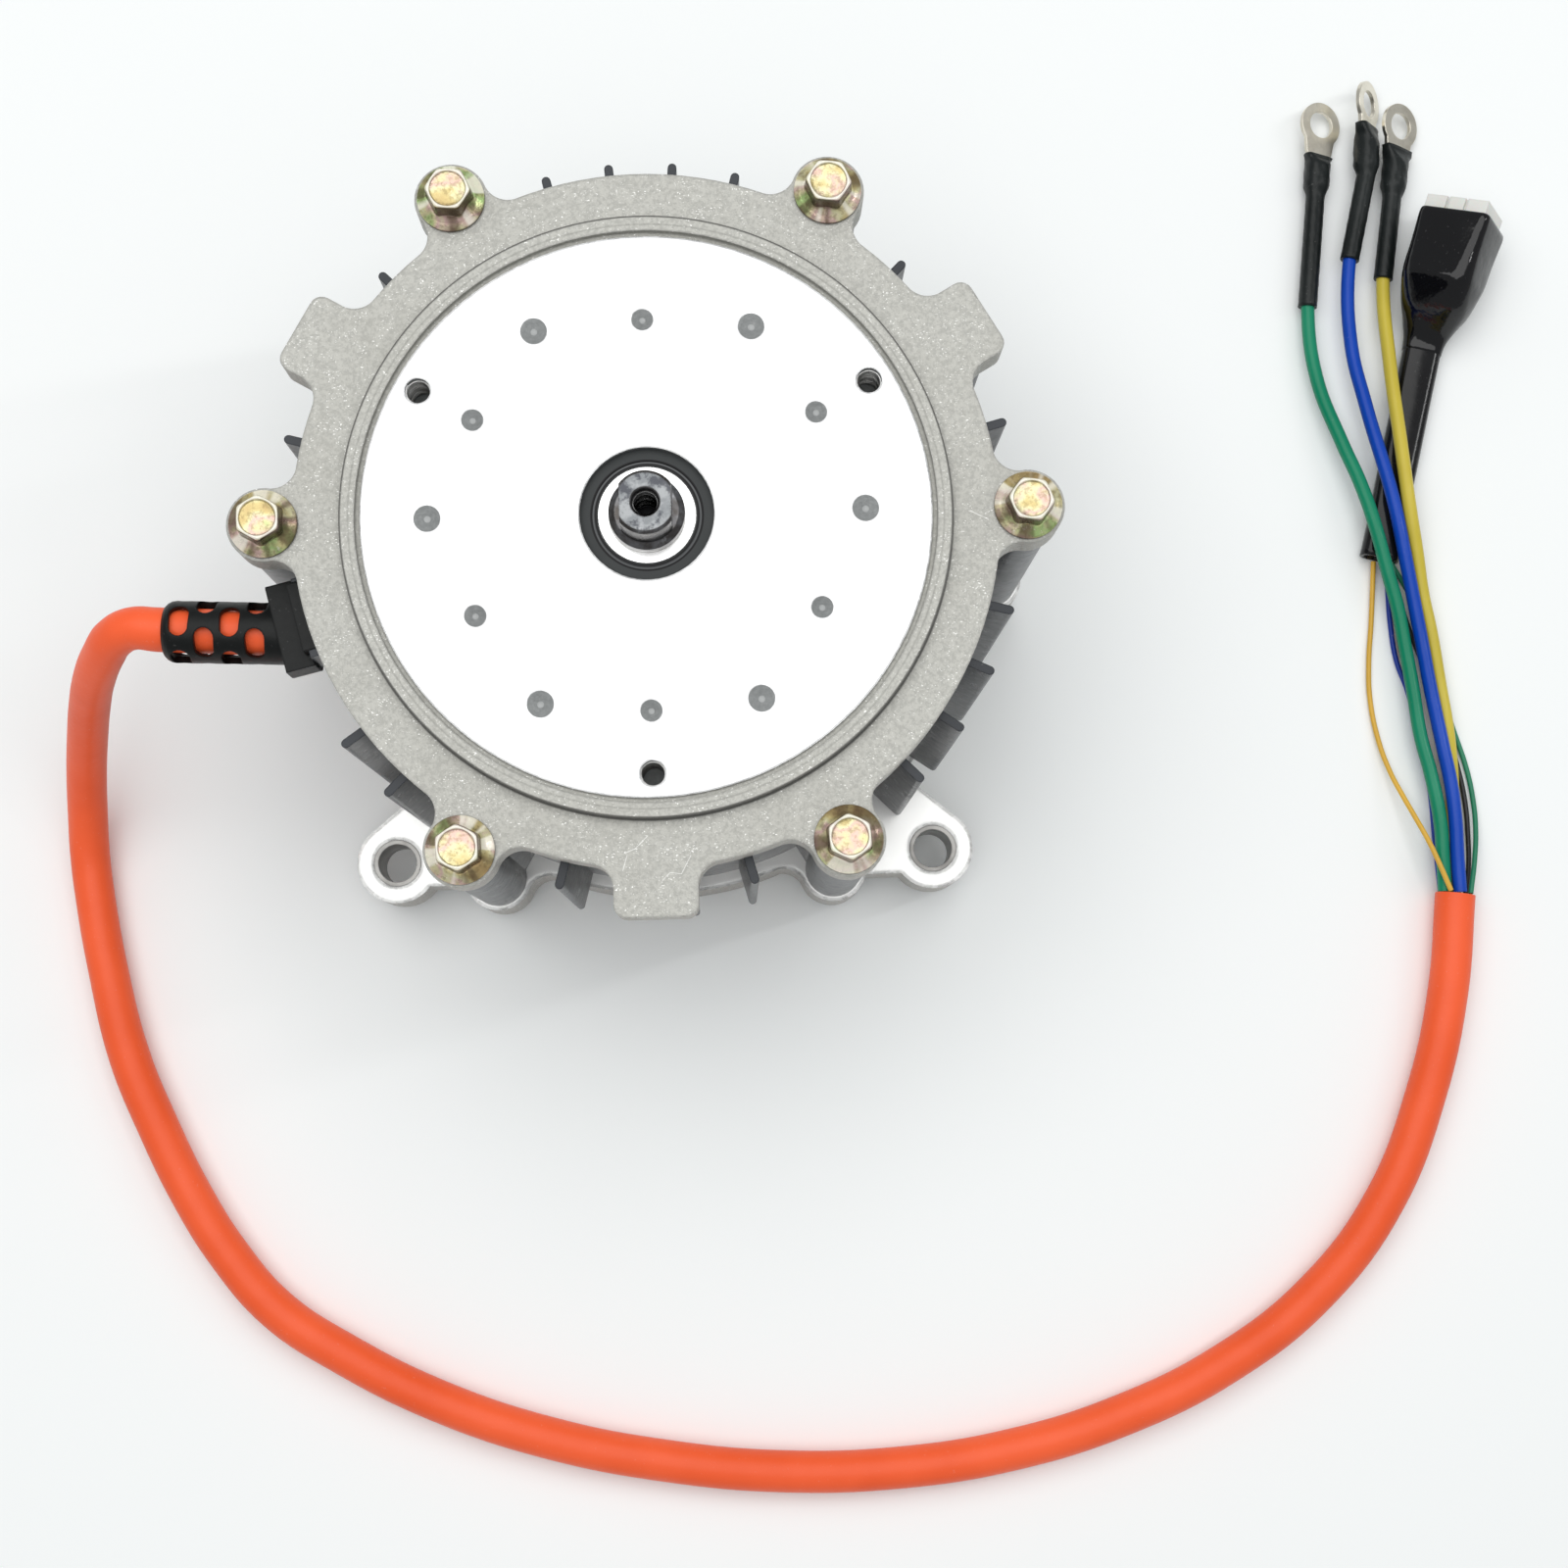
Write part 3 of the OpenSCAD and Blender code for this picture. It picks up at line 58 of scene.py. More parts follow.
camera = put_in_scene("camera", bpy.data.cameras.new("camera"))
camera.data.lens = LENS
camera.data.sensor_width = 36
camera.matrix_world = (Matrix.Translation(Vector(CAMERA_PLACE) * MM)
                       @ Matrix((CAMERA_RIGHT, CAMERA_UP, CAMERA_BACK)).transposed().to_4x4())
bpy.context.scene.camera = camera


# Motor cable. A soft PVC jacket over eight wires: it leaves the gland high on the housing, falls
# to the table, runs round in one open loop and ends cut square where the wires come out.
GLAND_HEADING = 193.6
GLAND_FACE_R = 77.5
GLAND_Z = 72.0
SLEEVE_TURN = -2.6
CABLE_START_R = 57.5
CABLE_D = 9.1
BEND_POINTS = range(3, 14)
BEND_SWELL = 0.96


def on_circle(radius, heading, height=0.0):
    """Point round the shaft's axis in millimetres, its heading in degrees from +X."""
    turn = math.radians(heading)
    return Vector((radius * math.cos(turn), radius * math.sin(turn), height))


gland_face = on_circle(GLAND_FACE_R, GLAND_HEADING, GLAND_Z)
sleeve_way = on_circle(-1, SLEEVE_TURN)
cable_route = [
    gland_face, gland_face + 12 * sleeve_way + Vector((0, 0.2, 0)),
    gland_face + 25 * sleeve_way + Vector((0, 0.4, 0)),
    (-105.2, -16.2, 71.5), (-109.6, -17.3, 68.7), (-113.5, -19.8, 63), (-118, -23.2, 53.5),
    (-121.9, -27, 42.5), (-125.8, -32.5, 30), (-129.1, -39.5, 18.5), (-131.1, -48, 10),
    (-131.7, -56, 6), (-130.9, -65, 4.8), (-127.9, -82, 4.8), (-123, -102, 4.8), (-116.5, -118, 4.8),
    (-109, -133.5, 4.8), (-100.8, -146.8, 4.8), (-90, -159.5, 4.8), (-75, -169.8, 4.8),
    (-53.5, -181, 4.8), (-29, -189.8, 4.8), (-3.5, -195.5, 4.8), (22, -198.6, 4.8), (48.5, -198.7, 4.8),
    (74, -195.6, 4.8), (99, -188.9, 4.8), (122.9, -178.3, 4.8), (144.5, -163, 4.8), (161.2, -143, 4.8),
    (172, -119.5, 4.8), (178.5, -96.5, 4.8), (181.66, -73.9, 4.8)]


def lay_wire(name, route, diameter, sides=6, swell=None):
    """A curve through the route's points, given in millimetres, with a round section."""
    data = bpy.data.curves.new(name, "CURVE")
    data.dimensions = "3D"
    data.resolution_u = 8
    data.bevel_depth = diameter / 2 * MM
    data.bevel_resolution = sides
    data.use_fill_caps = True
    spline = data.splines.new("BEZIER")
    spline.bezier_points.add(len(route) - 1)
    for i, (knot, place) in enumerate(zip(spline.bezier_points, route)):
        knot.co = Vector(place) * MM
        knot.handle_left_type = knot.handle_right_type = "AUTO"
        knot.radius = swell(i) if swell else 1.0
    return put_in_scene(name, data)


def feed(tree, socket, source):
    """Puts another node's output, a colour or a value into a socket."""
    if isinstance(source, bpy.types.NodeSocket):
        tree.links.new(source, socket)
    elif socket.type == "RGBA":
        socket.default_value = tuple(source) + (1,)
    else:
        socket.default_value = source


def add_node(tree, kind, sources=(), **settings):
    """One node: its settings by name, its sockets fed by name or number."""
    node = tree.nodes.new(kind)
    for label, value in settings.items():
        setattr(node, label, value)
    for label, source in dict(sources).items():
        feed(tree, node.inputs[label], source)
    return node


def calc(tree, operation, *sources, clamp=False):
    """One Math node."""
    return add_node(tree, "ShaderNodeMath", dict(enumerate(sources)), operation=operation,
                    use_clamp=clamp).outputs[0]


def vector_calc(tree, operation, *sources, output="Vector"):
    """One Vector Math node."""
    return add_node(tree, "ShaderNodeVectorMath", dict(enumerate(sources)),
                    operation=operation).outputs[output]


def between(tree, value, low, high):
    """0 below low, 1 above high, and a smooth step between them."""
    return add_node(tree, "ShaderNodeMapRange", {"Value": value, "From Min": low, "From Max": high},
                    interpolation_type="SMOOTHSTEP").outputs["Result"]


def blend_colour(tree, factor, first, second):
    """One colour mix."""
    return add_node(tree, "ShaderNodeMix", {"Factor": factor, "A": first, "B": second},
                    data_type="RGBA").outputs["Result"]


def lay_over(tree, tone, colour, mask, share):
    """A second colour laid over a tone where a mask is, no stronger than the share."""
    return blend_colour(tree, calc(tree, "MULTIPLY", mask, share), tone, colour)


def noise_at(tree, place, scale, detail=2.0, roughness=0.5):
    """Noise between 0 and 1 with so many cells to the metre."""
    return add_node(tree, "ShaderNodeTexNoise", {
        "Vector": place, "Scale": scale, "Detail": detail, "Roughness": roughness}).outputs["Fac"]


def add_sockets(tree, direction, sockets):
    """A group's sockets, each with its label, kind and first value: returns their identifiers."""
    keys = {}
    for label, kind, *value in sockets:
        socket = tree.interface.new_socket(label, in_out=direction, socket_type="NodeSocket" + kind)
        if value:
            socket.default_value = value[0]
        keys[label] = socket.identifier
    return keys


def shader_group(name, takes, makes):
    """A shader group with named sockets: returns the tree, what it is given and what it puts out."""
    tree = bpy.data.node_groups.new(name, "ShaderNodeTree")
    add_sockets(tree, "INPUT", takes)
    add_sockets(tree, "OUTPUT", makes)
    return tree, tree.nodes.new("NodeGroupInput").outputs, tree.nodes.new("NodeGroupOutput").inputs


def use_group(tree, group, **sources):
    """One use of a shader group, fed by name: returns what it puts out."""
    return add_node(tree, "ShaderNodeGroup", sources, node_tree=group).outputs


def start_material(name, roughness, metallic=0.0):
    """A material with plain gloss: returns it, its tree, its shader and the object coordinates."""
    material = bpy.data.materials.new(name)
    material.use_nodes = True
    tree = material.node_tree
    shader = tree.nodes["Principled BSDF"]
    shader.inputs["Roughness"].default_value = roughness
    shader.inputs["Metallic"].default_value = metallic
    return material, tree, shader, add_node(tree, "ShaderNodeTexCoord").outputs["Object"]


def vary_roughness(tree, shader, source, change, least):
    """Roughness that rises with a mask or a height, from its least value."""
    feed(tree, shader.inputs["Roughness"], calc(tree, "MULTIPLY_ADD", source, change, least))


def raise_surface(tree, shader, height, distance, strength=1.0, under=None):
    """Turns a height into the shader's normal; the distance is in millimetres."""
    bump = add_node(tree, "ShaderNodeBump", {
        "Height": height, "Distance": distance * MM, "Strength": strength})
    if under is not None:
        feed(tree, bump.inputs["Normal"], under)
    feed(tree, shader.inputs["Normal"], bump.outputs["Normal"])


# Shared: the faint skin of moulded or extruded plastic, with slow shade changes and dust
plastic_skin, given, result = shader_group(
    "plastic_skin", [("Place", "Vector"), ("Grain", "Float", 900.0)],
    [("Shade", "Float"), ("Dust", "Float"), ("Height", "Float")])
slow = noise_at(plastic_skin, given["Place"], 28.0, 3.0, 0.6)
specks = noise_at(plastic_skin, given["Place"], 1500.0, 1.0)
feed(plastic_skin, result["Shade"], between(plastic_skin, slow, 0.3, 0.7))
feed(plastic_skin, result["Dust"], between(plastic_skin, specks, 0.71, 0.78))
feed(plastic_skin, result["Height"], noise_at(plastic_skin, given["Place"], given["Grain"], 3.0, 0.6))


def jacket_plastic(name, colour, roughness, spread=0.08, grain=900.0, bump=0.05, dust=0.1, gloss=0.4,
                   shine=0.0):
    """Coloured plastic with a slow change of shade, fine grain and a few pale specks."""
    material, tree, shader, place = start_material(name, roughness)
    shader.inputs["Specular IOR Level"].default_value = gloss
    shader.inputs["Coat Weight"].default_value = shine
    shader.inputs["Coat Roughness"].default_value = 0.12
    skin = use_group(tree, plastic_skin, Place=place, Grain=grain)
    deep = [c * (1 - spread) for c in colour]
    pale = [min(1, c * (1 + spread) + 0.01) for c in colour]
    body = blend_colour(tree, skin["Shade"], deep, pale)
    feed(tree, shader.inputs["Base Color"], lay_over(tree, body, (0.8, 0.8, 0.78), skin["Dust"], dust))
    vary_roughness(tree, shader, skin["Height"], 0.12, roughness - 0.06)
    raise_surface(tree, shader, skin["Height"], bump)
    return material


def cable_swell(i):
    """The jacket draws thin where it bends down off the motor."""
    return BEND_SWELL if i in BEND_POINTS else 1.0


orange_jacket = jacket_plastic("orange_jacket", (0.97, 0.120, 0.032), 0.42, spread=0.07, grain=700.0,
                               bump=0.06, dust=0.06, gloss=0.26)
motor_cable = lay_wire("cable_jacket", cable_route, CABLE_D, 10, cable_swell)
motor_cable.data.materials.append(orange_jacket)
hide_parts("motor_cable")
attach(motor_cable, "motor")

# The stretch of the same cable inside the housing and the gland's block
stub_start = on_circle(CABLE_START_R, GLAND_HEADING, GLAND_Z)
cable_stub = lay_wire(
    "cable_stub", [stub_start, (stub_start + gland_face) / 2, gland_face - 0.3 * sleeve_way], CABLE_D)
cable_stub.data.materials.append(orange_jacket)
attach(cable_stub, "motor")


# Ring terminals, phase wires and heat-shrink. Each phase wire is soft silicone-sheathed copper,
# crimped into a tinned copper ring terminal; a black heat-shrink sleeve covers the crimp, flat
# over the terminal's tongue and round over the wire.
PHASE_D = 3.2
RING_END = 7
TONGUE_HALF_W = 3.5
TONGUE_T = 1.9
BARREL_W, BARREL_H = 4.9, 4.8
BARREL_START = 9.5
BARREL_END = 15.5
BEND_AT = BARREL_END + 2
SHRINK_T = 0.5
SHRINK_STEP = 0.7
SHRINK_SIDES = 28
CREASE_DEPTH = 0.09

# Shared: an outline softened where faces meet, and how close a point is to such an edge
soft_edges, given, result = shader_group(
    "soft_edges", [("Radius", "Float", 0.0004)], [("Normal", "Vector"), ("Edge", "Float")])
rounded = add_node(soft_edges, "ShaderNodeBevel", {"Radius": given["Radius"]}, samples=4).outputs["Normal"]
sharp = add_node(soft_edges, "ShaderNodeNewGeometry").outputs["Normal"]
match = vector_calc(soft_edges, "DOT_PRODUCT", rounded, sharp, output="Value")
feed(soft_edges, result["Normal"], rounded)
feed(soft_edges, result["Edge"], between(soft_edges, match, 0.995, 0.9))

# Shared: fine straight rub marks, long along one axis of the place that is fed in
rub_marks, given, result = shader_group(
    "rub_marks", [("Place", "Vector"), ("Along", "Vector", (1.0, 1.0, 1.0)), ("Scale", "Float", 300.0),
                  ("Amount", "Float", 0.4)], [("Mask", "Float"), ("Height", "Float")])
drawn = vector_calc(rub_marks, "MULTIPLY", given["Place"], given["Along"])
streak = noise_at(rub_marks, drawn, given["Scale"], 4.0, 0.65)
worn = between(rub_marks, noise_at(rub_marks, given["Place"], 90.0), 0.4, 0.6)
low = calc(rub_marks, "SUBTRACT", 0.74, calc(rub_marks, "MULTIPLY", given["Amount"], 0.3))
rubbed = between(rub_marks, streak, low, calc(rub_marks, "ADD", low, 0.06))
feed(rub_marks, result["Mask"], calc(rub_marks, "MULTIPLY", rubbed, worn))
feed(rub_marks, result["Height"], streak)


def shade(colour, factor):
    """A colour made darker or paler, no part of it above 1."""
    return [min(1, c * factor) for c in colour]


def bare_metal(name, colour, roughness, spread=0.1, streaks=0.35, along=(1.0, 1.0, 6.0),
               tarnish=(0.3, 0.27, 0.2), edge=0.0003):
    """Solid metal with rub marks, cloudy tarnish and a highlight painted on its softened edges."""
    material, tree, shader, place = start_material(name, roughness, 1.0)
    edges = use_group(tree, soft_edges, Radius=edge)
    marks = use_group(tree, rub_marks, Place=place, Along=along, Scale=220.0, Amount=streaks)
    cloud = noise_at(tree, place, 130.0, 4.0, 0.65)
    dull = [c * (1 - spread) * 0.8 + t * 0.2 for c, t in zip(colour, tarnish)]
    tone = blend_colour(tree, between(tree, cloud, 0.42, 0.66), colour, dull)
    tone = lay_over(tree, tone, shade(colour, 0.6), marks["Mask"], 0.5)
    # A highlight painted on the softened edges
    tone = lay_over(tree, tone, shade(colour, 1.25), edges["Edge"], 0.6)
    feed(tree, shader.inputs["Base Color"], tone)
    vary_roughness(tree, shader, cloud, 0.3, roughness - 0.15)
    raise_surface(tree, shader, marks["Height"], 0.01, 0.5, under=edges["Normal"])
    return material


def finish_nodes(finish, *names):
    """Gives carried-over pieces their material."""
    for name in names:
        nodes[name].data.materials.clear()
        nodes[name].data.materials.append(finish)


def skin_rings(name, rings):
    """A closed smooth mesh over a list of rings with the same number of points, in millimetres."""
    count, last = len(rings[0]), len(rings) - 1
    faces = [(i * count + k, i * count + (k + 1) % count, (i + 1) * count + (k + 1) % count,
              (i + 1) * count + k) for i in range(last) for k in range(count)]
    faces.append(tuple(range(count - 1, -1, -1)))
    faces.append(tuple(last * count + k for k in range(count)))
    mesh = bpy.data.meshes.new(name)
    mesh.from_pydata([Vector(p) * MM for ring in rings for p in ring], [], faces)
    mesh.polygons.foreach_set("use_smooth", [True] * len(faces))
    mesh.update()
    return put_in_scene(name, mesh)


def mix(first, second, share):
    """A value part of the way from the first to the second."""
    return first * (1 - share) + second * share


def ease(value, low, high):
    """0 below low, 1 above high, smooth between."""
    t = min(1, max(0, (value - low) / (high - low)))
    return t * t * (3 - 2 * t)


def behind_hole(lead, distance):
    """Point on a lead's line, this far behind the hole, past the bend behind the barrel."""
    straight = min(distance, BEND_AT)
    return (Vector(lead["hole"]) - on_circle(straight, lead["heading"])
            - on_circle(distance - straight, lead["heading"] + lead["bend"]))


def tongue_half(behind):
    """Half width of the terminal's tongue, this far behind the hole."""
    if behind < RING_END:
        return TONGUE_HALF_W + 0.6 * (1 - ease(behind, 3, RING_END))
    return mix(TONGUE_HALF_W, 2.1, min(1, (behind - RING_END) / (BARREL_START - RING_END)))


def shrink_rings(lead, seed):
    """Sections of the heat-shrink from its mouth on the tongue to its end on the wire."""
    mouth, cover = lead["mouth"], lead["cover"]
    wrap = 2 * (SHRINK_T + 0.1)
    steps = int(cover / SHRINK_STEP)
    lips = {-2: 0.175, -1: 0.02, steps + 1: 0.02, steps + 2: 0.175}
    rings = []
    for i in range(-2, steps + 3):
        behind = mouth + cover * min(1, max(0, i / steps))
        onto_barrel = ease(behind, mouth + 0.5, BARREL_START + 0.8)
        onto_wire = ease(behind, BARREL_END - 0.6, BARREL_END + 2.6)
        width = mix(mix(2 * tongue_half(behind), BARREL_W, onto_barrel), PHASE_D, onto_wire) + wrap
        height = mix(mix(TONGUE_T, BARREL_H, onto_barrel), PHASE_D, onto_wire) + wrap
        power = 2 / mix(4, 2.1, onto_barrel)
        crumple = CREASE_DEPTH * (0.35 if onto_wire > 0.9 else 0.6)
        heading = lead["heading"] + (lead["bend"] if behind > BEND_AT else 0)
        place = (Matrix.Translation(behind_hole(lead, behind))
                 @ Matrix.Rotation(math.radians(heading), 4, "Z")
                 @ Matrix.Rotation(math.radians(lead["roll"]), 4, "X"))
        ring = []
        for k in range(SHRINK_SIDES):
            a = 2 * math.pi * k / SHRINK_SIDES
            c, s = math.cos(a), math.sin(a)
            crease = math.sin(5 * a + seed + 0.8 * behind) * math.sin(0.9 * behind + 2 * a + seed)
            grow = 1 - lips.get(i, 0) + crumple * crease
            ring.append(place @ Vector((0, -width / 2 * grow * math.copysign(abs(c) ** power, c),
                                        height / 2 * grow * math.copysign(abs(s) ** power, s))))
        rings.append(ring)
    return rings


tinned_copper = bare_metal("tinned_copper", (0.78, 0.74, 0.64), 0.34, spread=0.12, streaks=0.3,
                           along=(4.0, 1.0, 1.0), tarnish=(0.32, 0.27, 0.19))
shrink_black = jacket_plastic("shrink_black", (0.006, 0.009, 0.009), 0.34, spread=0.2, grain=1100.0,
                              dust=0.05, gloss=0.25)
phase_wires = {
    "green": dict(
        colour=(0.006, 0.24, 0.125), length=0.173, slot="green_wire",
        lead=dict(hole=(160.9, 111.9, 3.2), heading=83.1, roll=23, mouth=7.8, cover=37.5, bend=0),
        route=[(179.1, -73.2, 5.4), (179.1, -65.5, 5.5), (179, -57, 5.5), (177.6, -46, 5.1),
               (175.8, -37, 4.9), (174.7, -26, 4.7), (173.4, -15.5, 4.8), (172, -6, 5.3),
               (170.1, 1.5, 6.1), (167.2, 13.5, 7.3), (164.6, 23.5, 6.4), (161.3, 33, 5.4),
               (156.5, 49.5, 3.7)]),
    "blue": dict(
        colour=(0.002, 0.060, 0.46), length=0.176, slot="blue_wire",
        lead=dict(hole=(172.1, 116.1, 5.2), heading=85.6, roll=51, mouth=5.6, cover=33.6, bend=-9.5),
        route=[(182.5, -73.5, 5.8), (182.4, -65.7, 5.8), (182.5, -57, 5.7), (182, -48.5, 5.6),
               (180.7, -39.5, 5.4), (178.5, -24, 5), (177.5, -15.5, 4.9), (176.2, -6.5, 5.3),
               (174.6, 3, 6.4), (172, 19, 7.3), (167, 42, 6.6), (164.7, 57, 5.5)]),
    "yellow": dict(
        colour=(0.62, 0.50, 0.060), length=0.17, slot="yellow_wire",
        lead=dict(hole=(179.8, 110.8, 4.2), heading=80.7, roll=31, mouth=5.6, cover=32.7, bend=0),
        route=[(182, -73.5, 2.6), (182.6, -66, 2.2), (182.9, -58, 2.1), (183.3, -45, 2.3),
               (182.7, -35, 3), (181.6, -25, 3), (180.1, -12, 3.3), (178.6, -3, 3.7), (177.4, 6.5, 5.2),
               (175.9, 16, 7.1), (174.5, 33, 7.4), (173.5, 52, 6)])}
for number, (name, wire) in enumerate(phase_wires.items()):
    lead = wire["lead"]
    finish_nodes(tinned_copper, name + "_ring_terminal")
    sleeve = skin_rings(name + "_shrink_sleeve", shrink_rings(lead, 1.7 * number))
    sleeve.data.materials.append(shrink_black)
    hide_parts(name + "_heat_shrink")
    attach(sleeve, "motor")
    in_sleeve = [behind_hole(lead, d) for d in (lead["mouth"] + lead["cover"], BEND_AT, BARREL_END + 0.1)]
    strand = lay_wire(name + "_wire", wire["route"] + in_sleeve, PHASE_D)
    strand.data.materials.append(jacket_plastic(
        name + "_insulation", wire["colour"], 0.32, bump=0.03, dust=0.03, gloss=0.18, shine=0.1))
    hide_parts(name + "_phase_wire")
    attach(strand, "motor")


# Sensor plug. The five thin sensor wires run into a black tube; a dipped black boot grips the
# tube at one end and a white nylon housing with its contacts at the other.
HALL_D = 1.2
TUBE_MOUTH = Vector((169, 5.4, 0))
TUBE_HEADING = 75.2
TUBE_LEN = 53.5
TUBE_MIDDLE_Z = 2.7
PLUG_START = (64.5, 0.6, 10.5)
PLUG_LEN = 17.6
PLUG_TURN, PLUG_ROLL, PLUG_PITCH = -5.9, -32.5, -4.9
CORNER_POINTS = 6
on_tube_line = Matrix.Translation(TUBE_MOUTH) @ Matrix.Rotation(math.radians(TUBE_HEADING), 4, "Z")


def block_ring(width, height, corner):
    """A rounded rectangle across the line."""
    ring = []
    for u, v, first in ((1, 1, 0), (-1, 1, 90), (-1, -1, 180), (1, -1, 270)):
        for i in range(CORNER_POINTS):
            a = math.radians(first + 90 * i / (CORNER_POINTS - 1))
            ring.append(Vector((0, -(u * (width / 2 - corner) + corner * math.cos(a)),
                                v * (height / 2 - corner) + corner * math.sin(a))))
    return ring


def set_ring(ring, place, turn=0, roll=0, pitch=0, x=0.0):
    """A section put at a place on the tube's line: rolled, then tipped, then turned."""
    turned = (on_tube_line @ Matrix.Translation(Vector(place))
              @ Matrix.Rotation(math.radians(turn), 4, "Z") @ Matrix.Rotation(math.radians(pitch), 4, "Y")
              @ Matrix.Rotation(math.radians(roll), 4, "X"))
    return [turned @ (p + Vector((x, 0, 0))) for p in ring]


def smooth_loft(keys, steps):
    """Rings between key rings, on a smooth curve through them."""
    rings = []
    last = len(keys) - 1
    for i in range(last):
        before, first, second, after = keys[max(0, i - 1)], keys[i], keys[i + 1], keys[min(last, i + 2)]
        for step in range(steps[i]):
            t = step / steps[i]
            rings.append([
                0.5 * (2 * q + (r - p) * t + (2 * p - 5 * q + 4 * r - w) * t * t
                       + (3 * q - p - 3 * r + w) * t ** 3)
                for p, q, r, w in zip(before, first, second, after)])
    rings.append(keys[-1])
    return rings


tube_black = jacket_plastic("tube_black", (0.004, 0.004, 0.005), 0.15, spread=0.2, grain=260.0, bump=0.08,
                            dust=0.04, gloss=0.10, shine=0.4)
tube_keys = [
    set_ring([Vector((0, p.y * wide, TUBE_MIDDLE_Z + p.z * high)) for p in block_ring(9.0, 5.0, 2.2)],
             (along, 0, 0))
    for along, wide, high in ((2.6, 0.8, 0.72), (0.25, 0.8, 0.72), (0.25, 1, 1), (12, 0.98, 1),
                              (24, 1, 0.98), (40, 0.99, 1), (TUBE_LEN, 1, 1))]
sensor_tube = skin_rings("sensor_tube", tube_keys[:2] + smooth_loft(tube_keys[2:], [6] * 4))
sensor_tube.data.materials.append(tube_black)
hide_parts("hall_sleeve")
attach(sensor_tube, "motor")

# The boot: its neck on the tube, width, height, corner, place, turn, roll and pitch of each
# section; then its grip on the plug, width, height, corner and distance along
boot_black, tree, shader, place = start_material("boot_black", 0.16)
skin = use_group(tree, plastic_skin, Place=place, Grain=180.0)
dip = blend_colour(tree, skin["Shade"], (0.003, 0.003, 0.004), (0.006, 0.006, 0.007))
feed(tree, shader.inputs["Base Color"], lay_over(tree, dip, (0.5, 0.5, 0.5), skin["Dust"], 0.05))
vary_roughness(tree, shader, skin["Height"], 0.1, 0.06)
raise_surface(tree, shader, skin["Height"], 0.16)
shader.inputs["Specular IOR Level"].default_value = 0.4
neck_sections = [
    (9.2, 5.2, 2.3, (TUBE_LEN - 2.0, 0, 2.75), 0, 0, 0), (9.7, 5.7, 2.6, (TUBE_LEN, 0, 2.95), 0, -1, 0),
    (10.5, 6.6, 3.0, (55.2, 0, 3.6), 0, -6, -2), (12.8, 9.2, 4.2, (57.8, 0.1, 5.3), -3, -16, -6),
    (15.6, 12.4, 5.0, (60.8, 0.3, 7.8), -5, -26, -6)]
grip_sections = [
    (17.2, 14.7, 4.6, 0.6), (17.4, 15.1, 3.6, 4.0), (17.1, 14.8, 2.8, 8.5), (17.2, 14.9, 2.3, 13.0),
    (17.3, 15, 2.0, PLUG_LEN - 1.3), (16.7, 14.4, 1.7, PLUG_LEN - 0.2), (15.6, 13.3, 0.9, PLUG_LEN),
    (15.2, 11.8, 0.4, PLUG_LEN - 0.6)]
boot_keys = [set_ring(block_ring(*section[:3]), *section[3:]) for section in neck_sections]
boot_keys += [set_ring(block_ring(*size), PLUG_START, PLUG_TURN, PLUG_ROLL, PLUG_PITCH, along)
              for *size, along in grip_sections]
sensor_boot = skin_rings(
    "sensor_boot", smooth_loft(boot_keys[:-1], [3, 4, 5, 5, 5, 5, 5, 4, 4, 3, 2]) + boot_keys[-1:])
sensor_boot.data.materials.append(boot_black)
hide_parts("connector_boot")
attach(sensor_boot, "motor")

nylon_white, tree, shader, place = start_material("nylon_white", 0.4)
edges = use_group(tree, soft_edges, Radius=0.0003)
skin = use_group(tree, plastic_skin, Place=place, Grain=900.0)
feed(tree, shader.inputs["Base Color"], blend_colour(
    tree, skin["Shade"], (0.74, 0.74, 0.70), (0.84, 0.84, 0.81)))
shader.inputs["Subsurface Weight"].default_value = 0.15
shader.inputs["Subsurface Scale"].default_value = 0.002
raise_surface(tree, shader, skin["Height"], 0.02, under=edges["Normal"])
finish_nodes(nylon_white, "connector_housing")
finish_nodes(bare_metal("contact_brass", (0.72, 0.5, 0.2), 0.3), "connector_contacts")

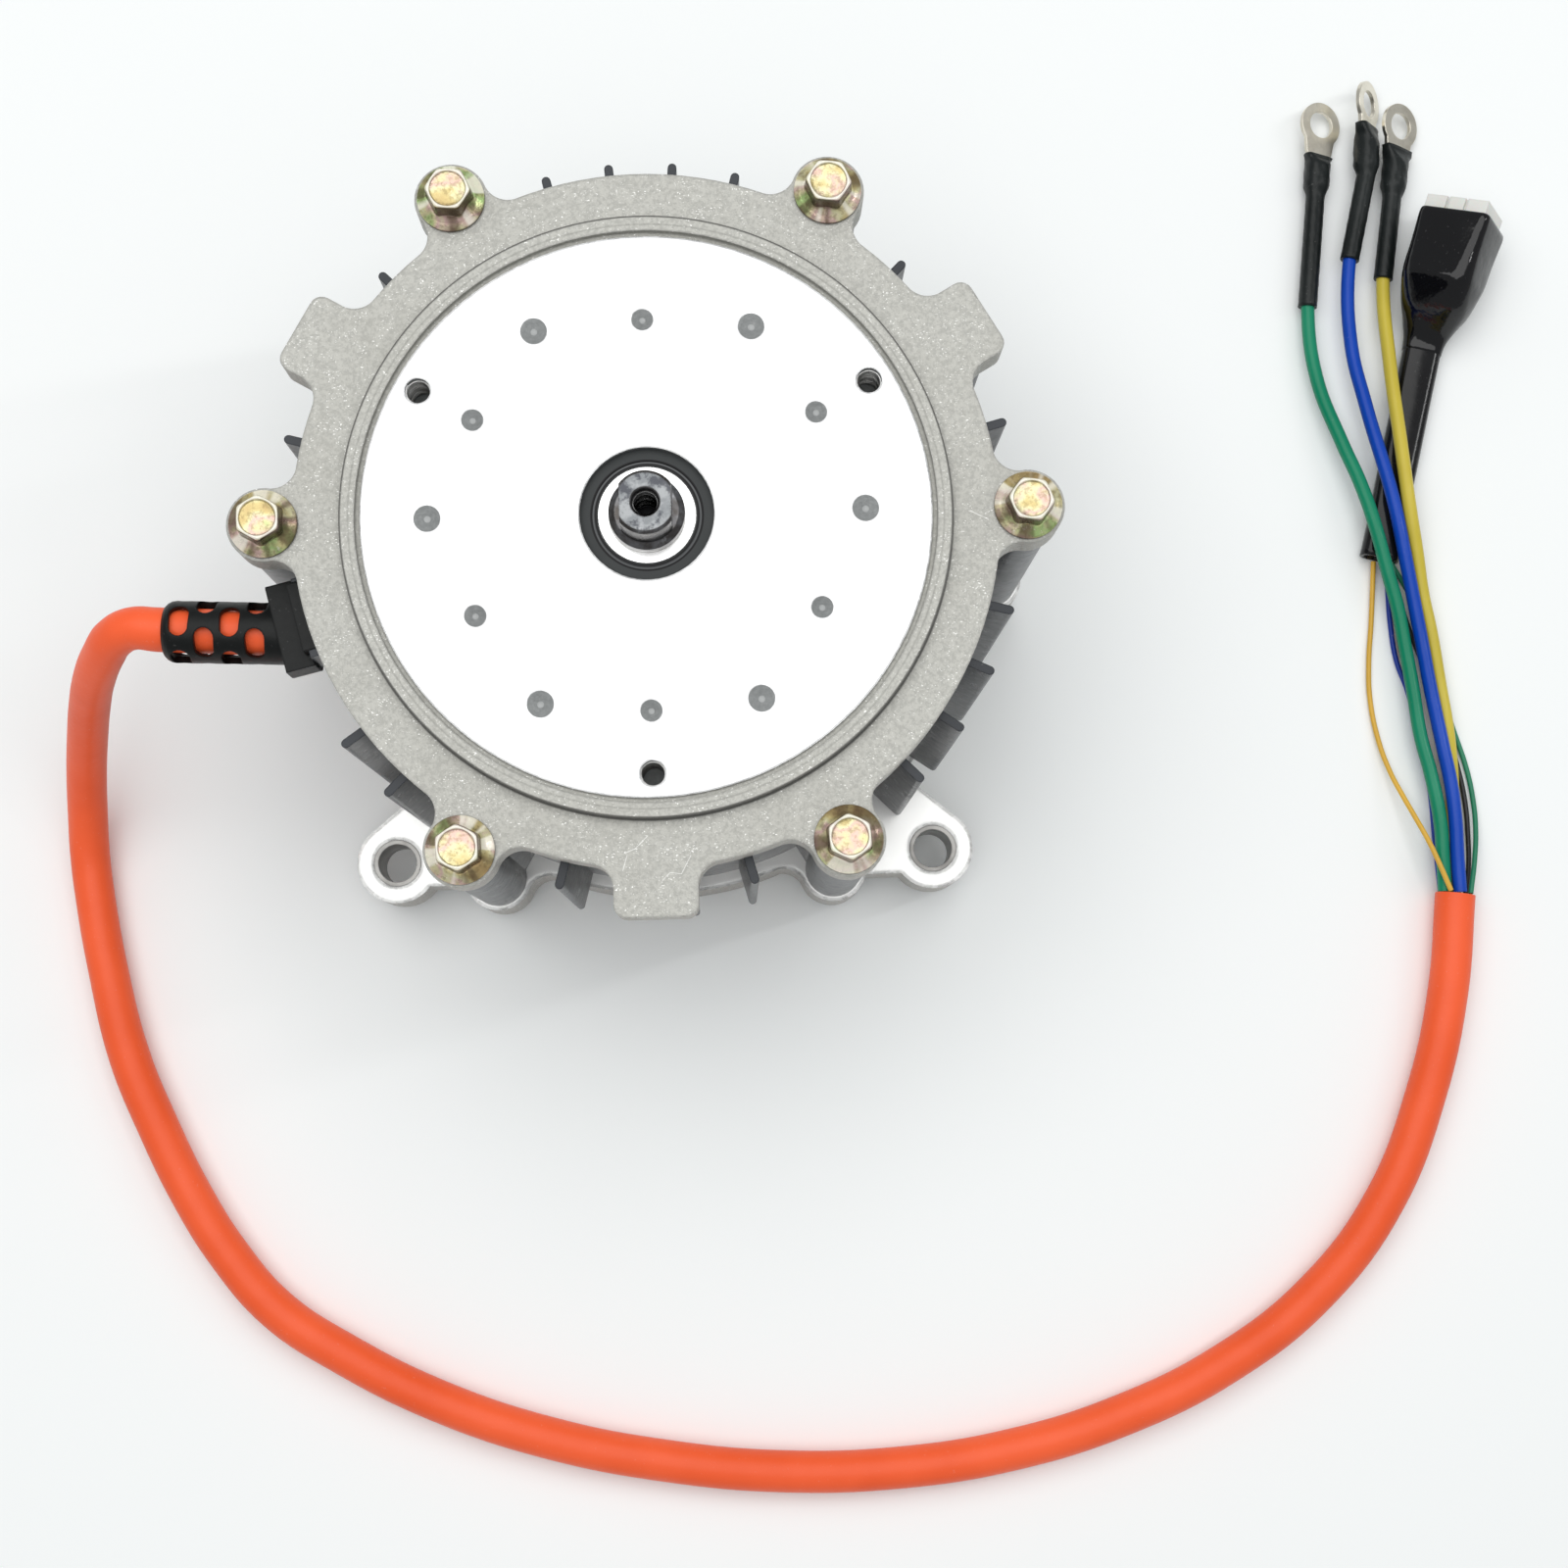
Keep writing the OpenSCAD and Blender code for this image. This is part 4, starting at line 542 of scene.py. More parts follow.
hall_wires = {
    "red": ((0.42, 0.012, 0.018), "red_wire", 0.080,
            [(179.8, -73.1, 2), (180.3, -58, 0.8), (179.6, -45, 0.8), (177.4, -33, 0.7), (175.6, -24, 0.7),
             (173.8, -17.5, 0.7), (172.7, -8, 1.2), (172, -3, 2.3), (170.7, 1.5, 3.2), (169.5, 5.1, 3.6)]),
    "black": ((0.012, 0.012, 0.014), "black_wire", 0.081,
              [(184.4, -73.9, 3.7), (185.9, -68, 2.2), (186.6, -60, 1.1), (186.5, -52, 0.7),
               (185.2, -43.5, 0.7), (181.5, -28, 0.7), (175, -8, 0.7), (172.2, 4.4, 1.9)]),
    "yellow": ((0.72, 0.42, 0.045), "yellow_thin_wire", 0.082,
               [(179.8, -73.2, 7.8), (177.6, -67.5, 8.1), (175.5, -62, 7.7), (173.1, -56, 6),
                (170.9, -50.5, 4.2), (168.9, -45, 2.5), (166.9, -37, 1), (165.6, -27, 0.7),
                (165.8, -19, 0.7), (167, -8.3, 0.8), (168, 5.3, 1.9)]),
    "green": ((0.010, 0.20, 0.10), "green_wire", 0.083,
              [(185, -73.9, 5.6), (186.9, -66, 4), (188.1, -58.7, 2.4), (188.3, -51.6, 1.1),
               (187.4, -44.6, 0.7), (184.4, -33.4, 0.7), (180.5, -15, 0.7), (176.1, -3, 1.9),
               (171.7, 4.5, 3.4)]),
    "blue": ((0.006, 0.04, 0.36), "blue_wire", 0.079,
             [(178.7, -72.9, 3.1), (178.7, -62, 1.4), (178.3, -48, 0.8), (176.9, -38.4, 0.8),
              (174.5, -25.4, 0.7), (172.4, -18.5, 0.7), (171.4, -9, 0.7), (171.1, -1, 1.2),
              (170.5, 4.9, 1.9)])}
for name, (colour, slot, length, route) in hall_wires.items():
    strand = lay_wire(name + "_sensor_wire", route, HALL_D, 4)
    strand.data.materials.append(jacket_plastic(
        name + "_thin_insulation", colour, 0.4, spread=0.1, grain=1200.0, bump=0.02))
    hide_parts(name + "_hall_wire")
    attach(strand, "motor")


# Rear cap. Die-cast aluminium with two mounting ears; the ear tops, the lug tops and the rear
# face are milled bright, and a steel bush is pressed into each ear.
REAR_CAP_H = 18.0
REAR_CUT_R = 95.0

# Shared: sand-blasted die-cast skin with soft blotches, pale glints that are painted highlights, and a
# pitted height
cast_skin, given, result = shader_group(
    "cast_skin", [("Place", "Vector")],
    [("Blotch", "Float"), ("Mottle", "Float"), ("Glint", "Float"), ("Height", "Float")])
place = given["Place"]
mottle = noise_at(cast_skin, place, 1300.0, 3.0, 0.7)
sparkle = noise_at(cast_skin, vector_calc(cast_skin, "MULTIPLY", place, (1.0, 1.5, 1.0)), 2300.0, 2.0, 0.6)
patches = between(cast_skin, noise_at(cast_skin, place, 420.0, 1.0), 0.38, 0.6)
blotch = noise_at(cast_skin, place, 42.0, 5.0, 0.62)
feed(cast_skin, result["Blotch"], between(cast_skin, blotch, 0.42, 0.72))
feed(cast_skin, result["Mottle"], mottle)
feed(cast_skin, result["Glint"], calc(
    cast_skin, "MULTIPLY", between(cast_skin, sparkle, 0.62, 0.69), patches))
feed(cast_skin, result["Height"], calc(cast_skin, "MULTIPLY_ADD", sparkle, 0.4, mottle))


def axes_of(tree, place):
    """The X, Y and Z of a place."""
    return add_node(tree, "ShaderNodeSeparateXYZ", {0: place}).outputs


# Shared: where a face is milled or turned flat at a height, from the outside radius inwards
cut_face, given, result = shader_group(
    "cut_face", [("Place", "Vector"), ("Bottom", "Float", 0.0), ("Top", "Float", 0.0),
                 ("Radius", "Float", 1.0)], [("Mask", "Float"), ("Reach", "Float"), ("Height", "Float")])
height = axes_of(cut_face, given["Place"])["Z"]
flat_place = vector_calc(cut_face, "MULTIPLY", given["Place"], (1.0, 1.0, 0.0))
reach = vector_calc(cut_face, "LENGTH", flat_place, output="Value")
level = calc(cut_face, "MULTIPLY", calc(cut_face, "GREATER_THAN", height, given["Bottom"]),
             calc(cut_face, "LESS_THAN", height, given["Top"]))
within = calc(cut_face, "LESS_THAN", reach, given["Radius"])
feed(cut_face, result["Mask"], calc(cut_face, "MULTIPLY", level, within))
feed(cut_face, result["Reach"], reach)
turned_line = add_node(cut_face, "ShaderNodeCombineXYZ", {"X": reach}).outputs[0]
feed(cut_face, result["Height"], noise_at(cut_face, turned_line, 3800.0))


def cut_band(tree, place, bottom, top, radius=1000.0):
    """The part of a piece between two heights and inside a radius, in millimetres."""
    return use_group(tree, cut_face, Place=place, Bottom=bottom * MM, Top=top * MM, Radius=radius * MM)


def facing_up(tree):
    """1 on a face that looks up, 0 on an upright one, -1 on one that looks down."""
    normal = add_node(tree, "ShaderNodeNewGeometry").outputs["Normal"]
    return vector_calc(tree, "DOT_PRODUCT", normal, (0.0, 0.0, 1.0), output="Value")


def cast_alloy(name, colour, cut_z, cut_play, cut_radius, cut_colour, cut_rough, edge=0.0008):
    """Cast alloy with one level cut bright: returns the material, its tree, shader, place, tone so
    far and distance from the axis."""
    material, tree, shader, place = start_material(name, 0.55)
    edges = use_group(tree, soft_edges, Radius=edge)
    skin = use_group(tree, cast_skin, Place=place)
    band = cut_band(tree, place, cut_z - cut_play, cut_z + cut_play, cut_radius)
    level = calc(tree, "GREATER_THAN", calc(tree, "ABSOLUTE", facing_up(tree)), 0.8)
    cut = calc(tree, "MULTIPLY", band["Mask"], level)
    uncut = calc(tree, "SUBTRACT", 1.0, cut)
    cast = blend_colour(tree, between(tree, skin["Mottle"], 0.36, 0.62), shade(colour, 0.8), colour)
    cast = lay_over(tree, cast, (0.36, 0.35, 0.31), skin["Blotch"], 0.18)
    # Pale glints over the cast skin: painted highlights
    cast = lay_over(tree, cast, (1.0, 1.0, 0.98), skin["Glint"], 0.85)
    # Pale softened edges: a painted highlight
    cast = lay_over(tree, cast, (0.70, 0.70, 0.67), edges["Edge"], 0.25)
    marks = use_group(tree, rub_marks, Place=place, Along=(1.0, 9.0, 1.0), Scale=260.0, Amount=0.2)
    bright = lay_over(tree, cut_colour, (0.42, 0.43, 0.44), marks["Mask"], 0.25)
    # A dark line painted round the edges of the cut faces: painted shade where each edge turns away from the
    # light
    ragged = between(tree, noise_at(tree, place, 420.0, 3.0), 0.42, 0.58)
    edge_shade_line = calc(tree, "MULTIPLY", edges["Edge"], ragged)
    bright = lay_over(tree, bright, (0.07, 0.07, 0.07), edge_shade_line, 0.8)
    tone = blend_colour(tree, cut, cast, bright)
    feed(tree, shader.inputs["Base Color"], tone)
    cast_rough = calc(tree, "MULTIPLY_ADD", skin["Glint"], -0.25, 0.58)
    vary_roughness(tree, shader, cut, cut_rough, calc(tree, "MULTIPLY", cast_rough, uncut))
    feed(tree, shader.inputs["Metallic"], calc(tree, "MULTIPLY_ADD", cut, 0.5, 0.45))
    grain = calc(tree, "MULTIPLY", skin["Height"], uncut)
    turned = calc(tree, "MULTIPLY", band["Height"], cut)
    raise_surface(tree, shader, calc(tree, "MULTIPLY_ADD", turned, 0.12, grain), 0.14,
                  under=edges["Normal"])
    return material, tree, shader, place, tone, band["Reach"]


rear_alloy = cast_alloy("rear_cap_alloy", (0.53, 0.53, 0.505), REAR_CAP_H, 0.1, REAR_CUT_R,
                        (0.72, 0.72, 0.71), 0.36, edge=0.0017)[0]
bush_steel = bare_metal("bush_steel", (0.25, 0.245, 0.235), 0.32, spread=0.2, streaks=0.4,
                        along=(1.0, 1.0, 5.0), tarnish=(0.12, 0.11, 0.10))
finish_nodes(rear_alloy, "rear_cap")
finish_nodes(bush_steel, "ear_bushes")


# Bearings. Two sealed deep-groove ball bearings: hardened rings, chromed balls in a moulded cage,
# and black rubber seals on both sides. The rear one sits on a spring washer of three waves.
# Dark and pale rings round the seals' faces: the painted shade and painted highlight of their moulded lips
SEAL_SHADE_RINGS = ((10.1, (0.004, 0.004, 0.005)), (10.6, (0.13, 0.135, 0.14)), (10.95, (0.004, 0.004, 0.005)))
ring_steel = bare_metal("ring_steel", (0.80, 0.80, 0.80), 0.2, spread=0.06, streaks=0.15,
                        along=(1.0, 1.0, 8.0), tarnish=(0.5, 0.5, 0.5), edge=0.0002)
ball_steel = bare_metal("ball_steel", (0.86, 0.86, 0.87), 0.08, spread=0.03, streaks=0.05,
                        along=(1.0, 1.0, 1.0), tarnish=(0.6, 0.6, 0.6), edge=0.0001)
washer_steel = bare_metal("washer_steel", (0.46, 0.46, 0.48), 0.35, spread=0.15, streaks=0.3,
                          along=(1.0, 1.0, 1.0), tarnish=(0.25, 0.25, 0.28))
cage_nylon = jacket_plastic("cage_nylon", (0.42, 0.36, 0.22), 0.45, spread=0.1, bump=0.03, dust=0.05)


def ring_line(tree, reach, radius, wide, narrow):
    """A fine line round the axis: full within the narrow distance of it, gone at the wide one."""
    off_line = calc(tree, "ABSOLUTE", calc(tree, "SUBTRACT", reach, radius * MM))
    return between(tree, off_line, wide * MM, narrow * MM)


seal_rubber, tree, shader, place = start_material("seal_rubber", 0.5)
shader.inputs["Specular IOR Level"].default_value = 0.25
skin = use_group(tree, plastic_skin, Place=place, Grain=1300.0)
reach = use_group(tree, cut_face, Place=place)["Reach"]
rubber = blend_colour(tree, skin["Shade"], (0.036, 0.040, 0.041), (0.050, 0.054, 0.055))
# Painted shade and painted highlight in rings round the seal
for radius, ring_shading in SEAL_SHADE_RINGS:
    rubber = blend_colour(tree, ring_line(tree, reach, radius, 0.30, 0.15), rubber, ring_shading)
feed(tree, shader.inputs["Base Color"], rubber)
raise_surface(tree, shader, skin["Height"], 0.05)
for end in ("front", "rear"):
    finish_nodes(ring_steel, end + "_bearing_outer_ring", end + "_bearing_inner_ring")
    finish_nodes(ball_steel, end + "_bearing_balls")
    finish_nodes(cage_nylon, end + "_bearing_cage")
    finish_nodes(seal_rubber, end + "_bearing_seals")
finish_nodes(washer_steel, "wave_washer")


# Rotor. A ground steel shaft carries a laminated core with ten curved nickel-plated magnets,
# held by a thin steel sleeve. The shaft's end has two flats and a tapped hole.
FACE_Z = 93.0
TIP_Z = 103.0
THREAD_R = 2.45
SHEETS_PER_M = 2000.0
shaft_steel, tree, shader, place = start_material("shaft_steel", 0.32, 1.0)
edges = use_group(tree, soft_edges, Radius=0.00035)
marks = use_group(tree, rub_marks, Place=place, Along=(1.0, 0.35, 1.0), Scale=420.0, Amount=0.55)
height = axes_of(tree, place)["Z"]
cloud = noise_at(tree, place, 260.0, 4.0, 0.65)
outside = between(tree, height, (FACE_Z - 1) * MM, FACE_Z * MM)
top = calc(tree, "GREATER_THAN", height, (TIP_Z - 0.05) * MM)
ground = blend_colour(tree, between(tree, cloud, 0.4, 0.65), (0.52, 0.52, 0.51), (0.40, 0.39, 0.37))
# The shaft above the cap's face is painted dark: painted shade on the journal and its flats
shaded_journal = blend_colour(tree, between(tree, cloud, 0.4, 0.7), (0.085, 0.078, 0.074), (0.20, 0.20, 0.21))
end_face = blend_colour(tree, between(tree, cloud, 0.40, 0.62), (0.15, 0.158, 0.165), (0.25, 0.258, 0.265))
smudge = between(tree, noise_at(tree, place, 210.0, 4.0, 0.7), 0.50, 0.60)
end_face = lay_over(tree, end_face, (0.035, 0.036, 0.045), smudge, 0.75)
tone = blend_colour(tree, outside, ground, shaded_journal)
tone = blend_colour(tree, top, tone, end_face)
# Painted shade inside the tapped hole in the shaft's end
hole = cut_band(tree, place, TIP_Z - 15, TIP_Z - 0.3, THREAD_R + 0.25)
tone = blend_colour(tree, hole["Mask"], tone, (0.030, 0.030, 0.032))
tone = lay_over(tree, tone, (0.42, 0.43, 0.45), marks["Mask"], 0.5)
# A highlight painted on the softened edges
tone = lay_over(tree, tone, (0.34, 0.34, 0.34), edges["Edge"], 0.4)
feed(tree, shader.inputs["Base Color"], tone)
vary_roughness(tree, shader, cloud, 0.35, 0.14)
raise_surface(tree, shader, marks["Height"], 0.03, 0.6, under=edges["Normal"])


def laminated_steel(name, colour):
    """Stacked electrical sheet: fine level lines round the sides, half a millimetre apart."""
    material, tree, shader, place = start_material(name, 0.45, 0.9)
    sheet = calc(tree, "FRACT", calc(tree, "MULTIPLY", axes_of(tree, place)["Z"], SHEETS_PER_M))
    line = between(tree, calc(tree, "ABSOLUTE", calc(tree, "SUBTRACT", sheet, 0.5)), 0.36, 0.5)
    tone = blend_colour(tree, noise_at(tree, place, 90.0, 3.0), shade(colour, 0.8), colour)
    feed(tree, shader.inputs["Base Color"], lay_over(tree, tone, (0.06, 0.06, 0.07), line, 0.6))
    raise_surface(tree, shader, calc(tree, "SUBTRACT", 1.0, line), 0.06)
    return material


finish_nodes(shaft_steel, "motor_shaft")
finish_nodes(laminated_steel("rotor_stack", (0.36, 0.36, 0.38)), "rotor_core")
finish_nodes(bare_metal("magnet_nickel", (0.66, 0.65, 0.62), 0.22, spread=0.08, streaks=0.2),
             "rotor_magnets")
finish_nodes(bare_metal("magnet_sleeve_steel", (0.62, 0.62, 0.63), 0.3, spread=0.08, streaks=0.3,
                        along=(1.0, 1.0, 9.0), tarnish=(0.4, 0.4, 0.4)), "magnet_sleeve")


# Stator. A laminated ring with twelve teeth, each in a moulded nylon bobbin with its own coil of
# enamelled copper wire, pressed into the housing. The coils are real turns, side by side.
TOOTH_COUNT = 12
CORE_Z = 21.03
CORE_TOP_Z = 63.5
WIRE_PITCH = 1.12
TURNS_DEEP = 5
COIL_INNER_R = 39.4
COIL_OUTER_R = COIL_INNER_R + TURNS_DEEP * WIRE_PITCH
COIL_W = 13.06
COIL_L = 44.53
COIL_CORNER_R = 2.8
finish_nodes(laminated_steel("stator_stack", (0.30, 0.31, 0.33)), "stator_core")
finish_nodes(jacket_plastic("bobbin_nylon", (0.62, 0.57, 0.44), 0.45, bump=0.04, dust=0.05),
             "slot_insulators")
enamelled_copper, tree, shader, place = start_material("enamelled_copper", 0.28, 0.85)
cloud = between(tree, noise_at(tree, place, 160.0, 3.0), 0.35, 0.7)
feed(tree, shader.inputs["Base Color"], blend_colour(tree, cloud, (0.52, 0.17, 0.055), (0.36, 0.10, 0.03)))
shader.inputs["Coat Weight"].default_value = 0.6
raise_surface(tree, shader, noise_at(tree, place, 900.0), 0.02)


def geometry_tree(name, takes):
    """A Geometry Nodes tree with named inputs: returns it, what it is given, what it puts out and
    the inputs' identifiers."""
    tree = bpy.data.node_groups.new(name, "GeometryNodeTree")
    keys = add_sockets(tree, "INPUT", [("Geometry", "Geometry")] + takes)
    add_sockets(tree, "OUTPUT", [("Geometry", "Geometry")])
    return tree, tree.nodes.new("NodeGroupInput").outputs, tree.nodes.new("NodeGroupOutput").inputs, keys


def set_out(tree, places, piece, rotation=(0.0, 0.0, 0.0)):
    """One copy of a piece on each place, turned."""
    return add_node(tree, "GeometryNodeInstanceOnPoints", {
        "Points": places, "Instance": piece, "Rotation": rotation}).outputs[0]


def turn_about_z(tree, angle):
    """A rotation about the upright axis."""
    return add_node(tree, "ShaderNodeCombineXYZ", {"Z": angle}).outputs[0]


def close_tree(tree, given, result, geometry):
    """Ends a tree in real geometry with its material."""
    real = add_node(tree, "GeometryNodeRealizeInstances", {"Geometry": geometry})
    painted = add_node(tree, "GeometryNodeSetMaterial", {
        "Geometry": real.outputs[0], "Material": given["Finish"]})
    feed(tree, result[0], painted.outputs[0])


def grow(name, points, tree, keys, values):
    """Runs a tree on a few points and keeps the result as a plain mesh piece."""
    seed_mesh = bpy.data.meshes.new(name + "_seed")
    seed_mesh.from_pydata([Vector(p) * MM for p in points], [], [])
    seed = put_in_scene(name + "_seed", seed_mesh)
    modifier = seed.modifiers.new("grow", "NODES")
    modifier.node_group = tree
    for label, value in values.items():
        modifier[keys[label]] = value
    mesh = bpy.data.meshes.new_from_object(seed.evaluated_get(bpy.context.evaluated_depsgraph_get()))
    mesh.name = name
    seed.modifiers.remove(modifier)
    bpy.data.objects.remove(seed)
    return put_in_scene(name, mesh)


coil_tree, given, result, coil_keys = geometry_tree("coil_turns", [
    ("Teeth", "Int", TOOTH_COUNT), ("Turns", "Int", TURNS_DEEP), ("Pitch", "Float", WIRE_PITCH * MM),
    ("Start", "Float", COIL_INNER_R * MM), ("Width", "Float", 0.016), ("Length", "Float", 0.047),
    ("Middle", "Float", 0.042), ("Finish", "Material")])
race = add_node(coil_tree, "GeometryNodeCurvePrimitiveQuadrilateral", {
    "Width": given["Width"], "Height": given["Length"]})
round_race = add_node(coil_tree, "GeometryNodeFilletCurve", {
    "Curve": race.outputs[0], "Radius": COIL_CORNER_R * MM, "Count": 5}, mode="POLY")
section = add_node(coil_tree, "GeometryNodeCurvePrimitiveCircle", {
    "Resolution": 6, "Radius": WIRE_PITCH / 2 * MM})
turn_mesh = add_node(coil_tree, "GeometryNodeCurveToMesh", {
    "Curve": round_race.outputs[0], "Profile Curve": section.outputs[0]})
upright = add_node(coil_tree, "GeometryNodeTransform", {
    "Geometry": turn_mesh.outputs[0], "Rotation": (math.pi / 2, 0, math.pi / 2)})
step = add_node(coil_tree, "ShaderNodeCombineXYZ", {"X": given["Pitch"]})
start = add_node(coil_tree, "ShaderNodeCombineXYZ", {"X": given["Start"], "Z": given["Middle"]})
row = add_node(coil_tree, "GeometryNodeMeshLine", {
    "Count": given["Turns"], "Start Location": start.outputs[0], "Offset": step.outputs[0]})
coil = set_out(coil_tree, row.outputs[0], upright.outputs[0])
teeth = add_node(coil_tree, "GeometryNodeDuplicateElements", {
    "Geometry": given["Geometry"], "Amount": given["Teeth"]}, domain="POINT")
angle = calc(coil_tree, "DIVIDE", calc(coil_tree, "MULTIPLY", teeth.outputs["Duplicate Index"], 2 * math.pi),
             given["Teeth"])
close_tree(coil_tree, given, result, set_out(
    coil_tree, teeth.outputs[0], coil, turn_about_z(coil_tree, angle)))

coil_layers = {"coil_inner_turns": (COIL_INNER_R, 3.3), "coil_inner_bed": (COIL_INNER_R, 1.5),
               "coil_outer_turns": (COIL_OUTER_R, 5.0), "coil_outer_bed": (COIL_OUTER_R, 3.2)}
for name, (first_r, thickness) in coil_layers.items():
    added = 2 * thickness - WIRE_PITCH
    coil_piece = grow(name, [(0, 0, 0)], coil_tree, coil_keys, {
        "Teeth": TOOTH_COUNT, "Turns": TURNS_DEEP, "Pitch": WIRE_PITCH * MM, "Start": first_r * MM,
        "Width": (COIL_W + added) * MM, "Length": (COIL_L + added) * MM,
        "Middle": (CORE_Z + CORE_TOP_Z) / 2 * MM, "Finish": enamelled_copper})
    coil_piece.data.polygons.foreach_set("use_smooth", [True] * len(coil_piece.data.polygons))
    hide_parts("stator_windings")
    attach(coil_piece, "motor")


# Sensor board. A part ring of glass-epoxy board over the coil ends, with green solder mask and
# tinned tracks, and three black magnetic sensors that reach down to the rotor's magnets.
board_green, tree, shader, place = start_material("board_green", 0.3)
weave = noise_at(tree, place, 1400.0, 1.0)
tracks = add_node(tree, "ShaderNodeTexBrick", {
    "Vector": place, "Scale": 160.0, "Mortar Size": 0.05}).outputs["Fac"]
mask_green = blend_colour(tree, weave, (0.010, 0.12, 0.05), (0.014, 0.16, 0.07))
feed(tree, shader.inputs["Base Color"], blend_colour(tree, tracks, mask_green, (0.03, 0.26, 0.12)))
raise_surface(tree, shader, tracks, 0.04)
finish_nodes(board_green, "hall_board")
finish_nodes(jacket_plastic("sensor_black", (0.02, 0.02, 0.02), 0.5, spread=0.1, grain=1500.0, bump=0.03),
             "hall_sensors")


# Housing. An extruded tube with fins and six bolt bosses, coated smooth, glossy dark blue-grey.
housing_coat, tree, shader, place = start_material("housing_coat", 0.3)
edges = use_group(tree, soft_edges, Radius=0.0004)
skin = use_group(tree, plastic_skin, Place=place, Grain=420.0)
marks = use_group(tree, rub_marks, Place=place, Along=(1.0, 1.0, 0.12), Scale=380.0, Amount=0.25)
coat = blend_colour(tree, skin["Shade"], (0.020, 0.024, 0.031), (0.034, 0.039, 0.048))
coat = lay_over(tree, coat, (0.22, 0.22, 0.22), marks["Mask"], 0.35)
# Darker softened edges: painted shade
coat = lay_over(tree, coat, (0.006, 0.006, 0.008), edges["Edge"], 0.3)
feed(tree, shader.inputs["Base Color"], coat)
vary_roughness(tree, shader, skin["Height"], 0.2, 0.2)
shader.inputs["Coat Weight"].default_value = 0.1
shader.inputs["Coat Roughness"].default_value = 0.2
shader.inputs["Specular IOR Level"].default_value = 0.28
raise_surface(tree, shader, skin["Height"], 0.06, under=edges["Normal"])
finish_nodes(housing_coat, "stator_housing")


# Cable gland. A moulded black block held in a notch of the housing, with a perforated
# strain-relief sleeve through which the orange jacket shows.
gland_black, tree, shader, place = start_material("gland_black", 0.42)
edges = use_group(tree, soft_edges, Radius=0.0005)
skin = use_group(tree, plastic_skin, Place=place, Grain=800.0)
body = blend_colour(tree, skin["Shade"], (0.004, 0.005, 0.005), (0.008, 0.009, 0.009))
feed(tree, shader.inputs["Base Color"], lay_over(tree, body, (0.5, 0.5, 0.5), skin["Dust"], 0.06))
shader.inputs["Specular IOR Level"].default_value = 0.2
vary_roughness(tree, shader, skin["Height"], 0.15, 0.33)
raise_surface(tree, shader, skin["Height"], 0.05, under=edges["Normal"])
finish_nodes(gland_black, "cable_gland")


# Front cap. The same casting alloy, sand-blasted grey, with a machined bright face inside a
# groove and rim, twelve drill marks and three tapped holes.
DISC_R = 56.0
GROOVE_R = 56.6
TOOL_LINE_R = 58.2
RIM_R = 60.0
DRILL_DEPTH = 0.9
HOLE_CIRCLE_R = 51.25
HOLE_HEADINGS = (30, 150, 270)
FACE_HOLE_DEPTH = 10.4
FACE_THREAD_DEPTH = 9.6
SHAFT_HOLE_DEPTH = 13.0
SHAFT_THREAD_DEPTH = 11.5
THREAD_PITCH = 1.0
THREAD_RIDGE_R = 0.32
front_alloy, tree, shader, place, tone, reach = cast_alloy(
    "front_cap_alloy", (0.52, 0.516, 0.48), FACE_Z, 0.05, DISC_R + 0.2, (0.66, 0.665, 0.67), 0.34)

# Painted shade inside the holes and the drill marks, paler on the floor of each mark
sunk = cut_band(tree, place, FACE_Z - 12, FACE_Z - 0.05, DISC_R - 1)
mark_floor = cut_band(tree, place, FACE_Z - DRILL_DEPTH - 0.05, FACE_Z - DRILL_DEPTH + 0.1, DISC_R - 1)
drilled_shade = blend_colour(tree, noise_at(tree, place, 1200.0, 3.0), (0.20, 0.21, 0.21), (0.34, 0.35, 0.35))
drilled_shade = blend_colour(tree, mark_floor["Mask"], drilled_shade, (0.40, 0.41, 0.41))
tone = blend_colour(tree, sunk["Mask"], tone, drilled_shade)

# Painted shade in the groove round the disc, at the rim's step and in the fine groove that the lathe tool
# left
groove_band = cut_band(tree, place, FACE_Z - 0.8, FACE_Z + 0.6, DISC_R + 1.2)
groove = calc(tree, "MULTIPLY", ring_line(tree, reach, GROOVE_R, 0.8, 0.4), groove_band["Mask"])
tone = lay_over(tree, tone, (0.22, 0.22, 0.20), groove, 0.15)
tone = lay_over(tree, tone, (0.10, 0.098, 0.09), ring_line(tree, reach, RIM_R, 0.5, 0.15), 0.85)
tone = lay_over(tree, tone, (0.20, 0.198, 0.18), ring_line(tree, reach, TOOL_LINE_R, 0.3, 0.05), 0.35)

# Shared: one thin bright scratch between two points
scratch, given, result = shader_group(
    "scratch", [("Place", "Vector"), ("From", "Vector", (0.0, 0.0, 0.0)), ("To", "Vector", (1.0, 0.0, 0.0)),
                ("Width", "Float", 0.00013)], [("Mask", "Float")])
flat = vector_calc(scratch, "MULTIPLY", given["Place"], (1.0, 1.0, 0.0))
along = vector_calc(scratch, "SUBTRACT", given["To"], given["From"])
out = vector_calc(scratch, "SUBTRACT", flat, given["From"])
share = calc(scratch, "DIVIDE", vector_calc(scratch, "DOT_PRODUCT", out, along, output="Value"),
             vector_calc(scratch, "DOT_PRODUCT", along, along, output="Value"), clamp=True)
nearest = add_node(scratch, "ShaderNodeVectorMath", {0: along, "Scale": share}, operation="SCALE").outputs[0]
gap = vector_calc(scratch, "LENGTH", vector_calc(scratch, "SUBTRACT", out, nearest), output="Value")
ragged = calc(scratch, "MULTIPLY", noise_at(scratch, given["Place"], 900.0), given["Width"])
